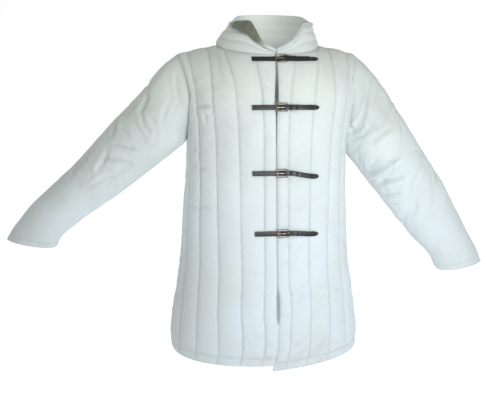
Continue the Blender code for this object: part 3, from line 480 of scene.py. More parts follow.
STRAP_THICK = 0.0020
TAB_THICK = 0.0016
STRAP_STEP = 0.0060
TAB_STEPS = 11
TAB_RETURN_STEPS = 4
TAB_TURN_STEPS = 7
TAB_RETURN_RISE = (0.0022, 0.0004, 0.0, 0.0)
LEATHER_PLAY = 0.0006
CHORD_PLAY = 0.0002
FRAME_LENGTH = 0.0300
FRAME_WIDTH = 0.0225
FRAME_WIRE = 0.0013
FRAME_CORNER = 0.0030
PRONG_WIDTH = 0.0030
PRONG_THICK = 0.0015
PRONG_TURNS = (-150, 120)
PRONG_TURN_STEPS = 8
RISE_STEPS = 7
RISE_START = 0.004
RISE_CLEAR = 0.002
CREST_PAST = 0.0015
CREST_UP = 0.0002
TAIL_TAPER = 0.016
TAIL_SHAPE = ((0.60, 0.96), (0.35, 0.82), (0.14, 0.60), (0.03, 0.38), (0.0, 0.22))
DROOP_REACH = 0.085
LINE_MARGIN = 0.012
LINE_STEPS = 72
SLOPE_STEP = 0.004

# Creases of the fronts and sleeves, as (x, z) on the side that faces the front
FRONT_CREASES = {
    Side.RIGHT: (
        Crease(((-0.212, -0.150), (-0.190, -0.147), (-0.168, -0.153)), 0.0055, 0.0042, 0.8),
        Crease(((-0.196, -0.158), (-0.188, -0.175), (-0.184, -0.200)), 0.0050, 0.0026, 0.6),
        Crease(((-0.238, -0.437), (-0.207, -0.430), (-0.157, -0.424)), 0.0060, 0.0022, 0.5),
        Crease(((-0.236, -0.300), (-0.205, -0.318), (-0.180, -0.325)), 0.0070, 0.0018, 0.5),
    ),
    Side.LEFT: (
        Crease(((0.213, -0.190), (0.196, -0.205), (0.178, -0.210)), 0.0060, 0.0022, 0.5),
        Crease(((0.140, -0.412), (0.170, -0.424), (0.205, -0.430)), 0.0055, 0.0018, 0.5),
        Crease(((0.062, -0.583), (0.090, -0.590), (0.121, -0.587)), 0.0050, 0.0016, 0.5),
        Crease(((0.121, -0.610), (0.150, -0.604), (0.180, -0.592)), 0.0050, 0.0018, 0.5),
        Crease(((0.115, -0.655), (0.150, -0.662), (0.190, -0.655)), 0.0050, 0.0014, 0.5),
    ),
}
SLEEVE_CREASES = {
    Side.RIGHT: (
        Crease(((-0.264, -0.060), (-0.262, -0.106), (-0.250, -0.147)), 0.0060, 0.0040, 0.7),
        Crease(((-0.345, -0.100), (-0.350, -0.135), (-0.366, -0.165)), 0.0070, 0.0038, 0.8),
        Crease(((-0.366, -0.160), (-0.356, -0.200), (-0.338, -0.225)), 0.0060, 0.0034, 0.7),
        Crease(((-0.280, -0.130), (-0.300, -0.170), (-0.302, -0.205)), 0.0070, 0.0024, 0.6),
        Crease(((-0.418, -0.170), (-0.434, -0.200), (-0.443, -0.232)), 0.0065, 0.0036, 0.8),
        Crease(((-0.446, -0.252), (-0.410, -0.261), (-0.368, -0.272)), 0.0060, 0.0038, 0.9),
        Crease(((-0.480, -0.290), (-0.430, -0.296), (-0.390, -0.310)), 0.0060, 0.0036, 0.9),
        Crease(((-0.458, -0.270), (-0.470, -0.300), (-0.492, -0.332)), 0.0065, 0.0032, 0.7),
        Crease(((-0.448, -0.336), (-0.474, -0.352), (-0.516, -0.372)), 0.0070, 0.0030, 0.6),
        Crease(((-0.420, -0.330), (-0.450, -0.345), (-0.470, -0.375)), 0.0060, 0.0022, 0.6),
    ),
    Side.LEFT: (
        Crease(((0.248, -0.095), (0.242, -0.130), (0.236, -0.190), (0.246, -0.236)), 0.0055, 0.0046, 0.7),
        Crease(((0.304, -0.075), (0.285, -0.136), (0.268, -0.187), (0.246, -0.222)), 0.0065, 0.0058, 0.9),
        Crease(((0.232, -0.214), (0.252, -0.226), (0.272, -0.205)), 0.0050, 0.0040, 1.1),
        Crease(((0.240, -0.250), (0.262, -0.245), (0.282, -0.222)), 0.0050, 0.0036, 0.9),
        Crease(((0.293, -0.257), (0.325, -0.229), (0.352, -0.214)), 0.0065, 0.0036, 0.9),
        Crease(((0.262, -0.350), (0.290, -0.350), (0.322, -0.331), (0.366, -0.297)), 0.0070, 0.0066, 1.0),
        Crease(((0.313, -0.388), (0.341, -0.370), (0.380, -0.354)), 0.0060, 0.0046, 0.9),
        Crease(((0.332, -0.420), (0.352, -0.410), (0.374, -0.402)), 0.0060, 0.0028, 0.6),
        Crease(((0.262, -0.290), (0.268, -0.320), (0.284, -0.345)), 0.0070, 0.0030, 0.6),
    ),
}
# The back's creases lie like the front's, a little lower and weaker
BACK_CREASE_DROP = 0.018
BACK_CREASE_DEPTH = 0.8


def crease_rise(points: Array, ways: Array, creases: Iterable[Crease], facing: float) -> Array:
    """Rise of the cloth over all its creases.

    Args:
        points: (n, 3) points of the plain sheet.
        ways: (n, 3) ways out.
        creases: The creases, as (x, z) paths.
        facing: -1 for creases on the side that faces the front, 1 for the back.

    Returns:
        (n,) rises in metres.
    """
    total = np.zeros(len(points))
    faced = smoothstep(ways[:, 1] * facing, 0.12, 0.60)
    visible = np.flatnonzero(ways[:, 1] * facing > 0.05)
    for crease in creases:
        marks = np.array(crease.path)
        t = np.linspace(0, len(marks) - 1, 28)
        low = np.clip(np.floor(t).astype(int), 0, len(marks) - 2)
        before, after = marks[np.maximum(low - 1, 0)], marks[np.minimum(low + 2, len(marks) - 1)]
        u = (t - low)[:, None]
        first, last = marks[low], marks[low + 1]
        line = hermite(first, (last - before) / 2, last, (after - first) / 2, u)
        flat = points[visible][:, [0, 2]]
        apart = np.linalg.norm(flat[None] - line[:, None], axis=2)
        path = points[visible[apart.argmin(1)]]
        path[:, [0, 2]] = line
        far, which = nearest(points, path)
        close = np.flatnonzero(far < 6 * crease.width)
        along = unit(np.gradient(path, axis=0))[which[close]]
        off = points[close] - path[which[close]]
        side = np.sign(np.einsum("ij,ij->i", np.cross(along, ways[close]), off))
        share = which[close] / (len(path) - 1)
        fade = np.sqrt(np.clip(np.sin(math.pi * np.clip(share, 0.02, 0.98)), 0, 1))
        d = far[close] / crease.width
        trough = -np.exp(-d * d)
        bank = crease.ridge * np.exp(-((d - 1.9) ** 2)) * (0.65 + 0.35 * side)
        total[close] += crease.depth * fade * faced[close] * (trough + bank)
    return total


class Grid:
    """A sheet of cloth as rows and columns of points; some places may hold no cloth."""

    def __init__(self, points: Array, held: Array, closed: bool = False) -> None:
        """Keep the sheet and work out its faces.

        Args:
            points: (rows, columns, 3) points.
            held: (rows, columns) True where there is cloth.
            closed: The last column joins the first.
        """
        self.points = points
        self.held = held
        self.closed = closed
        rows, columns = held.shape
        number = np.full(held.shape, -1)
        number[held] = np.arange(held.sum())
        self.number = number
        beyond = np.pad(number[:, 1:], ((0, 0), (0, 1)), constant_values=-1)
        after = np.roll(number, -1, axis=1) if closed else beyond
        quads = np.stack([number[:-1], after[:-1], after[1:], number[1:]], axis=-1).reshape(-1, 4)
        self.faces = quads[(quads >= 0).all(1)]
        self.flat = points[held]
        self.rows, self.columns = rows, columns
        self.ways_flat = self._ways()

    def _ways(self) -> Array:
        """Mean way of the faces round each point."""
        a, b, c, d = (self.flat[self.faces[:, k]] for k in range(4))
        way = np.cross(c - a, d - b)
        total = np.zeros_like(self.flat)
        for k in range(4):
            np.add.at(total, self.faces[:, k], way)
        return unit(total)

    def turn_out(self, centre: Array) -> None:
        """Point all ways away from a centre; centre is one point or one for each flat point."""
        if np.einsum("ij,ij->i", self.ways_flat, self.flat - centre).mean() < 0:
            self.ways_flat = -self.ways_flat
            self.faces = self.faces[:, ::-1]

    def spread(self, flat: Array) -> Array:
        """Values of the held places put back on the whole grid."""
        full = np.zeros((self.rows, self.columns, *flat.shape[1:]))
        full[self.held] = flat
        return full

    def area(self) -> float:
        """Area of the sheet in square metres."""
        a, b, c, d = (self.flat[self.faces[:, k]] for k in range(4))
        return float(np.linalg.norm(np.cross(c - a, d - b), axis=1).sum() / 2)


class Torso:
    """The coat's plain outer surface below the shoulders, unrolled level by level."""

    LEVELS = 260
    SHARES = 420
    TURNS = 120

    def __init__(self) -> None:
        """Read the tables and unroll every level of both faces on both sides."""
        self.sections = Table("z", TORSO)
        self.edges = Table("z", FRONT_EDGES)
        self.zs = np.linspace(-0.900, -0.120, self.LEVELS)
        self.unrolled = {(f, s): self._unroll(f, s) for f in Face for s in Side}

    def _unroll(self, face: Face, side: Side) -> Array:
        """Table of x and y by level and share of the way round."""
        rows = []
        for z in self.zs:
            half, shift = float(self.sections.read("half_width", z)), float(self.sections.read("shift", z))
            depth = float(self.sections.read(face.word, z))
            start = 0.0
            if face is Face.FRONT:
                middle, gap = float(self.edges.read("middle", z)), float(self.edges.read("gap", z))
                start = (side.value * (middle - shift) + gap / 2) / half
            first = math.copysign(math.asin(abs(start) ** (SECTION_POWER / 2)), start)
            turns = np.linspace(first, math.pi / 2, self.TURNS)
            x = half * np.sign(turns) * np.abs(np.sin(turns)) ** (2 / SECTION_POWER)
            y = depth * np.maximum(np.cos(turns), 0.0) ** (2 / SECTION_POWER)
            y[-1] = 0.0
            walked = np.concatenate([[0.0], np.cumsum(np.hypot(np.diff(x), np.diff(y)))])
            reach = np.linspace(0, walked[-1], self.SHARES)
            out = shift + side.value * np.interp(reach, walked, x)
            rows.append(np.stack([out, face.value * np.interp(reach, walked, y)], axis=1))
        return np.array(rows)

    def point(self, face: Face, side: Side, z: Array, share: Array) -> Array:
        """Points of the surface.

        Args:
            face: Front or back.
            side: Right or left.
            z: Heights.
            share: Shares of the way from the centre to the side seam.

        Returns:
            (..., 3) points.
        """
        table = self.unrolled[face, side]
        a = np.clip((z - self.zs[0]) / (self.zs[1] - self.zs[0]), 0, self.LEVELS - 1.001)
        b = np.clip(share * (self.SHARES - 1), 0, self.SHARES - 1.001)
        i, j = a.astype(int), b.astype(int)
        u, v = (a - i)[..., None], (b - j)[..., None]
        low = table[i, j] * (1 - v) + table[i, j + 1] * v
        high = table[i + 1, j] * (1 - v) + table[i + 1, j + 1] * v
        return np.concatenate([low * (1 - u) + high * u, np.asarray(z)[..., None]], axis=-1)


@dataclass
class Cloth:
    """How quilted cloth behaves between its lines: heights in metres, lengths in metres."""

    ripple: float = 0.0017
    ripple_length: float = 0.013
    pucker: float = 0.0010
    pucker_length: float = 0.0085
    pucker_reach: float = 0.0075
    lump: float = 0.0012
    lump_length: float = 0.085
    edge_reach: float = 0.011
    hem_line: float = 0.024
    hem_groove: float = 0.0012
    groove_reach: float = 0.0022


CLOTH = Cloth()


class HalfPanel:
    """Half of the front or back on a fine grid, with its quilting, puckers and creases."""

    def __init__(self, torso: Torso, face: Face, side: Side) -> None:
        """Lay the sheet out and dress it.

        Args:
            torso: The body's surface.
            face: Front or back.
            side: Right or left.
        """
        self.face, self.side, self.torso = face, side, torso
        self.columns = FRONT_COLUMNS if face is Face.FRONT else BACK_COLUMNS
        self._share_columns()
        self.grid = Grid(*self._points())
        self.grid.turn_out(np.array([0.0, 0.0, -0.30]))
        self._flatten_seam_ways()
        self.across, self.down = self._lengths()
        self.rise, self.painted_groove_shade = self._rise()
        shift = np.array([0.0, face.value * SEAM_GAP / 2, 0.0])
        self.outside = self.grid.flat + shift + self.grid.ways_flat * self.rise[:, None]
        wall = (SEAM_WALL - np.minimum(self.rise, 0.0))[:, None]
        self.inside = self.grid.flat + shift - self.grid.ways_flat * wall

    def _share_columns(self) -> None:
        """Chest and hem share of each fine column, and where the named columns stand."""
        chest, hem, marks = [0.0], [0.0], [0]
        for before, after in zip(self.columns, self.columns[1:]):
            count = after.steps * FINE_ACROSS
            for t in np.arange(1, count + 1) / count:
                chest.append(before.chest + (after.chest - before.chest) * t)
                hem.append(before.hem + (after.hem - before.hem) * t)
            marks.append(len(chest) - 1)
        self.chest, self.hem, self.marks = np.array(chest), np.array(hem), marks
        self.neck, self.notch = marks[NECK_COLUMN], marks[NOTCH_COLUMN]

    def _points(self) -> tuple[Array, Array]:
        """Points of the plain sheet and which places hold cloth."""
        yoke, skirt = YOKE_ROWS * FINE_YOKE, SKIRT_ROWS * FINE_SKIRT
        count = len(self.chest)
        points = np.zeros((yoke + skirt + 1, count, 3))
        held = np.ones(points.shape[:2], bool)
        notch_share = self.chest[self.notch]
        beyond = np.maximum(0.0, (self.chest - notch_share) / (1 - notch_share))
        high = NOTCH_Z + (UNDERARM_Z[self.side] - NOTCH_Z) * (1 - (1 - beyond) ** ARMHOLE_POWER)
        hem_centre, hem_side = HEM_Z[self.face, self.side]
        low = hem_centre + (hem_side - hem_centre) * self.hem ** HEM_CURVE[self.face, self.side]
        t = np.linspace(0, 1, skirt + 1)[:, None]
        share = self.chest + (self.hem - self.chest) * t
        points[yoke:] = self.torso.point(self.face, self.side, high + (low - high) * t, share)
        held[:yoke, self.notch + 1:] = False
        use = slice(0, self.notch + 1)
        start, way = self._top(self.chest[use])
        end = points[yoke, use]
        small = 0.002
        just_below = np.full(self.notch + 1, NOTCH_Z - small)
        below = self.torso.point(self.face, self.side, just_below, self.chest[use])
        length = np.linalg.norm(end - start, axis=1, keepdims=True)
        t = (np.arange(yoke) / yoke)[:, None, None]
        arrive = unit(below - end) * length * YOKE_ARRIVE
        leave = way * length * YOKE_LEAVE
        points[:yoke, use] = hermite(start[None], leave[None], end[None], arrive[None], t)
        return points, held

    def _top(self, share: Array) -> tuple[Array, Array]:
        """Starts of the columns on the neckline and shoulder seam, and the ways they leave."""
        sign, facing = self.side.value, self.face.value
        neck_share, notch_share = self.chest[self.neck], self.chest[self.notch]
        depth, centre_z = NECK_LINE[self.face]
        start = 0.0
        if self.face is Face.FRONT:
            start = sign * FRONT_EDGES[0].middle + FRONT_EDGES[0].gap / 2
        turn = np.minimum(share / neck_share, 1.0) * math.pi / 2
        out = start + (NECK_POINT[0] - start) * np.sin(turn)
        z = centre_z + (NECK_POINT[1] - centre_z) * (1 - np.cos(turn))
        neck = np.stack([sign * out, facing * depth * np.cos(turn), z], axis=1)
        across = np.sin(turn) ** 2
        forward = NECK_FORWARD + (1 - NECK_FORWARD) * across
        fall = 1 - (1 - SHOULDER_FALL) * across
        neck_way = unit(np.stack([0 * share, facing * forward, -fall], axis=1))
        t = np.maximum((share - neck_share) / (notch_share - neck_share), 0.0)
        out = NECK_POINT[0] + (SHOULDER_TIP[0] - NECK_POINT[0]) * t
        z = NECK_POINT[1] + (SHOULDER_TIP[1] - NECK_POINT[1]) * t + SHOULDER_CAMBER * np.sin(math.pi * t)
        seam = np.stack([sign * out, 0 * out, z], axis=1)
        seam_way = unit(np.stack([0 * out, facing + 0 * out, -SHOULDER_FALL - TIP_FALL * t], axis=1))
        on_neck = (share <= neck_share)[:, None]
        return np.where(on_neck, neck, seam), np.where(on_neck, neck_way, seam_way)

    def _flatten_seam_ways(self) -> None:
        """Keep the ways out in the seam's plane along the side and shoulder seams."""
        number = self.grid.number
        seam = np.concatenate([number[YOKE_ROWS * FINE_YOKE:, -1], number[0, self.neck:self.notch + 1]])
        self.grid.ways_flat[seam] = unit(self.grid.ways_flat[seam] * np.array([1.0, 0.0, 1.0]))

    def _lengths(self) -> tuple[Array, Array]:
        """Length walked across and down the cloth to each held place."""
        points = self.grid.points
        across = np.zeros(points.shape[:2])
        across[:, 1:] = np.cumsum(np.linalg.norm(np.diff(points, axis=1), axis=2), axis=1)
        down = np.zeros(points.shape[:2])
        steps = np.linalg.norm(np.diff(points, axis=0), axis=2)
        yoke = YOKE_ROWS * FINE_YOKE
        steps[:yoke, self.notch + 1:] = steps[:yoke, self.notch:self.notch + 1]
        down[1:] = np.cumsum(steps, axis=0)
        return across, down

    def _profile(self) -> Array:
        """Height of the quilting across the panel, from 0 on a line to 1 in a wide channel."""
        lines = [column.chest for column in self.columns if column.stitched]
        if not self.columns[0].stitched:
            lines.insert(0, -lines[0])
        lines = np.array(lines)
        low = np.clip(np.searchsorted(lines, self.chest + 1e-9) - 1, 0, len(lines) - 2)
        t = np.clip((self.chest - lines[low]) / (lines[low + 1] - lines[low]), 0, 1)
        narrow = np.minimum(1.0, (lines[low + 1] - lines[low]) / FULL_CHANNEL)
        return (4 * t * (1 - t)) ** 0.68 * (LEAST_RISE + (1 - LEAST_RISE) * narrow)

    def _rise(self) -> tuple[Array, Array]:
        """Rise of the dressed cloth, and how deep each place lies in a stitched line, seam, hollow or crease,
        where shade is painted.
        """
        grid, held = self.grid, self.grid.held
        seed = 10 * int(self.face is Face.BACK) + int(self.side is Side.LEFT)
        across, down = self.across[held], self.down[held]
        channel = np.broadcast_to(self._profile(), held.shape)[held]
        number = np.cumsum(np.isin(np.arange(grid.columns), [m for m, c in zip(self.marks, self.columns)
                                                             if c.stitched]))
        number = np.broadcast_to(number, held.shape)[held]
        yoke = YOKE_ROWS * FINE_YOKE
        flat = grid.flat
        edges = [grid.points[0, :self.notch + 1], grid.points[:yoke + 1, self.notch],
                 grid.points[yoke, self.notch:], grid.points[yoke:, -1]]
        seams, _ = nearest(flat, np.concatenate(edges))
        seam_fade = smoothstep(seams, -0.002, CLOTH.edge_reach)
        hem = (self.down[-1] - self.down)[held]
        rim = hem if self.face is Face.BACK else np.minimum(hem, across)
        rim_fade = smoothstep(rim, -0.001, 0.006)
        hem_flat = 1 - 0.75 * (1 - smoothstep(hem, CLOTH.hem_line - 0.003, CLOTH.hem_line + 0.012))
        lines = np.stack([self.across[:, m] for m, c in zip(self.marks, self.columns) if c.stitched], axis=-1)
        to_line = np.abs(self.across[..., None] - lines[:, None]).min(axis=-1)[held]
        fine, wide, small = Lumps(seed + 1), Lumps(seed + 2), Lumps(seed + 3)
        ripple = fine.at(down / CLOTH.ripple_length, number * 7.3 + across / 0.045)
        ripple = ripple * CLOTH.ripple * (0.6 + 0.8 * wide.at(across / 0.16, down / 0.21 + 9))
        pucker = small.at(down / CLOTH.pucker_length, number * 5.1 + across / 0.02)
        pucker = pucker * CLOTH.pucker * np.exp(-((to_line / CLOTH.pucker_reach) ** 2))
        lump = wide.at(across / CLOTH.lump_length, down / CLOTH.lump_length) * CLOTH.lump
        full = 1 + 0.16 * wide.at(number * 3.7, down / 0.14)
        rise = QUILT_RISE * channel * full * seam_fade * rim_fade * hem_flat
        rise = rise + (ripple * channel + pucker + lump) * seam_fade * rim_fade
        rise = rise - CLOTH.hem_groove * np.exp(-(((hem - CLOTH.hem_line) / CLOTH.groove_reach) ** 2))
        creases = FRONT_CREASES[self.side]
        if self.face is Face.BACK:
            creases = lowered(creases)
        folded = crease_rise(flat, grid.ways_flat, creases, self.face.value) * seam_fade * rim_fade
        rise = rise + folded
        deep = np.maximum(np.exp(-((to_line / 0.0028) ** 2)), np.exp(-((seams / 0.0035) ** 2)))
        deep = np.maximum(deep, 0.8 * np.exp(-(((hem - CLOTH.hem_line) / 0.0028) ** 2)))
        rise = rise - 0.0004 * deep * rim_fade
        # Ripple and crease hollows join the mask only as painted shade; the lines, seams and hem line also sink
        # the cloth.
        hollow = 0.75 * np.clip(-(ripple * channel + pucker) / 0.0014, 0, 1) * seam_fade
        deep = np.clip(deep + hollow + 0.5 * np.clip(-folded / 0.0030, 0, 1), 0, 1)
        if self.face is Face.FRONT:
            plain = QUILT_RISE * channel * seam_fade * rim_fade * hem_flat
            held_down = under_straps(flat)
            rise = rise + held_down * (np.minimum(rise, 0.80 * plain - 0.0003) - rise)
        return rise, deep

    def armhole(self) -> list[tuple[int, int]]:
        """Grid places down the armhole from the shoulder tip to the underarm point."""
        yoke = YOKE_ROWS * FINE_YOKE
        upper = [(row, self.notch) for row in range(yoke + 1)]
        return upper + [(yoke, j) for j in range(self.notch + 1, self.grid.columns)]

    def edge_ways(self, keys: list[tuple[int, int]], inner: Callable[[int, int], tuple[int, int]]) -> Array:
        """Ways that leave the panel through its edge.

        Args:
            keys: Places along the edge.
            inner: The place next to an edge place, inside the panel.

        Returns:
            (n, 3) ways.
        """
        points = np.array([self.grid.points[k] for k in keys])
        within = np.array([self.grid.points[inner(*k)] for k in keys])
        ways = self.grid.spread(self.grid.ways_flat)
        ways = np.array([ways[k] for k in keys])
        ends = np.minimum(np.arange(len(keys)) + 1, len(keys) - 1), np.maximum(np.arange(len(keys)) - 1, 0)
        along = unit(points[ends[0]] - points[ends[1]])
        away = points - within
        away = away - along * np.einsum("ij,ij->i", away, along)[:, None]
        away = away - ways * np.einsum("ij,ij->i", away, ways)[:, None]
        return unit(away)


def under_straps(points: Array) -> Array:
    """How much a strap holds the cloth down at each point, from 0 to 1.

    Args:
        points: (n, 3) points of a front.

    Returns:
        (n,) shares.
    """
    held = np.zeros(len(points))
    for closure in CLOSURES:
        droop = closure.droop * smoothstep(points[:, 0], closure.bar_x, closure.bar_x + DROOP_REACH)
        off = np.abs(points[:, 2] - closure.z + droop)
        past = np.maximum(closure.left_end - points[:, 0], points[:, 0] - closure.right_end)
        beside = 1 - smoothstep(off, STRAP_WIDTH / 2 + 0.002, STRAP_WIDTH / 2 + 0.008)
        held = np.maximum(held, beside * (1 - smoothstep(past, 0.001, 0.008)))
    return held


def lowered(creases: Iterable[Crease]) -> list[Crease]:
    """The creases of a hidden side: like those in front, a little lower and weaker."""
    return [Crease(tuple((x * 0.97, z - BACK_CREASE_DROP) for x, z in c.path), c.width * 1.15,
                   c.depth * BACK_CREASE_DEPTH, c.ridge) for c in creases]


class Piece:
    """A finished piece: its mesh object and what it stands for."""

    @staticmethod
    def wall(name: str, outside: Array, inside: Array, faces: Array, cut: Array, painted_groove_shade: Array,
             girth: Array | None = None, painted_shadow: Array | None = None) -> bpy.types.Object:
        """Close the room between an outer and an inner sheet into one wall.

        Args:
            name: Name of the piece.
            outside: (n, 3) outer points.
            inside: (n, 3) inner points.
            faces: (m, 4) faces of the outer sheet, facing out.
            cut: (n, 2) place on the flat cut cloth, in metres.
            painted_groove_shade: (n,) how deep each place lies in a line, seam or crease, where shade is painted.
            girth: (n,) length round a tube, or None for a sheet.
            painted_shadow: (n,) painted shadow on the outside, or None.

        Returns:
            The mesh object.
        """
        count = len(outside)
        edges = np.concatenate([faces[:, [k, (k + 1) % 4]] for k in range(4)])
        code = edges[:, 0] * count + edges[:, 1]
        back = edges[:, 1] * count + edges[:, 0]
        rim = edges[~np.isin(code, back)]
        rim_faces = np.stack([rim[:, 1], rim[:, 0], rim[:, 0] + count, rim[:, 1] + count], axis=1)
        all_faces = np.concatenate([faces, faces[:, ::-1] + count, rim_faces])
        points = np.concatenate([outside, inside])
        around = None if girth is None else np.concatenate([girth, girth])
        painted_shadow_twice = None if painted_shadow is None else np.concatenate([painted_shadow, painted_shadow])
        return Piece.mesh(name, points, all_faces, np.concatenate([cut, cut]), np.concatenate([painted_groove_shade, 0 * painted_groove_shade]),
                          around, painted_shadow_twice)

    @staticmethod
    def mesh(name: str, points: Array, faces: Array, cut: Array | None = None,
             painted_groove_shade: Array | None = None, girth: Array | None = None,
             painted_shadow: Array | None = None) -> bpy.types.Object:
        """Make a mesh object.

        Args:
            name: Name of the piece.
            points: (n, 3) points.
            faces: (m, k) faces.
            cut: (n, 2) places on the cut cloth for the weave, or None.
            painted_groove_shade: (n,) depths in a seam or crease, where shade is painted, or None.
            girth: (n,) length round a tube, or None for a sheet.
            painted_shadow: (n,) painted shadow at each place, or None.

        Returns:
            The mesh object.
        """
        data = bpy.data.meshes.new(name)
        data.from_pydata(points.tolist(), [], faces.tolist())
        data.update()
        if cut is not None:
            corners = np.zeros(len(data.loops), np.int32)
            data.loops.foreach_get("vertex_index", corners)
            placed = cut[corners].reshape(len(faces), -1, 2)
            if girth is not None:
                full = girth[corners].reshape(len(faces), -1)
                behind = placed[..., 0].max(axis=1, keepdims=True) - placed[..., 0] > full / 2
                placed[..., 0] += behind * full
            layer = data.uv_layers.new(name="cut")
            layer.data.foreach_set("uv", placed.astype(np.float32).ravel())
        # Masks for painted shade in lines, seams and creases, and for a painted shadow on the collar's turned
        # edge.
        for label, values in (("painted_groove_shade", painted_groove_shade), ("painted_shadow", painted_shadow)):
            if values is not None:
                layer = data.attributes.new(label, "FLOAT", "POINT")
                layer.data.foreach_set("value", values.astype(np.float32))
        data.shade_smooth()
        data.set_sharp_from_angle(angle=math.radians(60))
        thing = bpy.data.objects.new(name, data)
        bpy.context.scene.collection.objects.link(thing)
        return thing


@dataclass
class Stitching:
    """Rows of sewn stitches, each a short thread that dives into the cloth at both ends."""

    pitch: float = 0.0046
    length: float = 0.0034
    radius: float = 0.00042
    lift: float = 0.00020
    sink: float = 0.00050
    points: list = field(default_factory=list)
    faces: list = field(default_factory=list)

    def sew(self, line: Array, ways: Array) -> None:
        """Sew along a line on the cloth.

        Args:
            line: (n, 3) points on the cloth.
            ways: (n, 3) ways out of the cloth there.
        """
        walked = np.concatenate([[0.0], np.cumsum(np.linalg.norm(np.diff(line, axis=0), axis=1))])
        count = int(walked[-1] / self.pitch)
        if count < 1:
            return
        starts = np.arange(count) * self.pitch + (walked[-1] - count * self.pitch) / 2
        at = starts[:, None] + self.length * np.array([0.0, 0.22, 0.78, 1.0])
        middle = np.stack([np.interp(at, walked, line[:, k]) for k in range(3)], axis=-1)
        way = unit(np.stack([np.interp(at, walked, ways[:, k]) for k in range(3)], axis=-1))
        along = unit(middle[:, -1:] - middle[:, :1])
        side = unit(np.cross(way, np.broadcast_to(along, way.shape)))
        height = np.array([-self.sink, self.lift, self.lift, -self.sink])[:, None]
        centre = middle + way * height
        rings = []
        for k in range(4):
            turn = math.pi / 2 * k + math.pi / 4
            off = side * math.cos(turn) + way * math.sin(turn)
            rings.append(centre[:, 1:3] + off[:, 1:3] * self.radius)
        body = np.stack(rings, axis=2).reshape(count, 8, 3)
        stitch = np.concatenate([centre[:, :1], body, centre[:, 3:]], axis=1)
        base = sum(len(p) for p in self.points)
        self.points.append(stitch.reshape(-1, 3))
        shape = [(0, 2, 1, 1), (0, 3, 2, 2), (0, 4, 3, 3), (0, 1, 4, 4)]
        shape += [(1, 2, 6, 5), (2, 3, 7, 6), (3, 4, 8, 7), (4, 1, 5, 8)]
        shape += [(9, 5, 6, 6), (9, 6, 7, 7), (9, 7, 8, 8), (9, 8, 5, 5)]
        offsets = base + 10 * np.arange(count)[:, None, None]
        self.faces.append((np.array(shape)[None] + offsets).reshape(-1, 4))

    def finish(self, name: str) -> bpy.types.Object:
        """Make one mesh of all that was sewn.

        Args:
            name: Name of the piece.

        Returns:
            The mesh object.
        """
        faces = [tuple(dict.fromkeys(face)) for face in np.concatenate(self.faces).tolist()]
        data = bpy.data.meshes.new(name)
        data.from_pydata(np.concatenate(self.points).tolist(), [], faces)
        data.shade_smooth()
        thing = bpy.data.objects.new(name, data)
        bpy.context.scene.collection.objects.link(thing)
        return thing


class Value:
    """A number socket with the usual operators; each operator adds a Math node."""

    def __init__(self, shader: "Shader", socket: bpy.types.NodeSocket) -> None:
        """Wrap a socket of a shader."""
        self.shader, self.socket = shader, socket

    def _math(self, operation: str, first: Any, second: Any) -> "Value":
        """Add a Math node of two values."""
        made = self.shader.node("ShaderNodeMath", {"operation": operation}, {0: first, 1: second})
        return Value(self.shader, made.outputs[0])

    def __mul__(self, other: Any) -> "Value":
        """Product."""
        return self._math("MULTIPLY", self, other)

    def __rmul__(self, other: Any) -> "Value":
        """Product with the number first."""
        return self._math("MULTIPLY", other, self)

    def sine(self) -> "Value":
        """Sine of the value in radians."""
        made = self.shader.node("ShaderNodeMath", {"operation": "SINE"}, {0: self})
        return Value(self.shader, made.outputs[0])

    def clamped(self, low: float, high: float, to_low: float = 0.0, to_high: float = 1.0) -> "Value":
        """Map low..high to to_low..to_high and hold it there."""
        made = self.shader.node("ShaderNodeMapRange", {"clamp": True}, {
            "Value": self, "From Min": low, "From Max": high, "To Min": to_low, "To Max": to_high})
        return Value(self.shader, made.outputs[0])


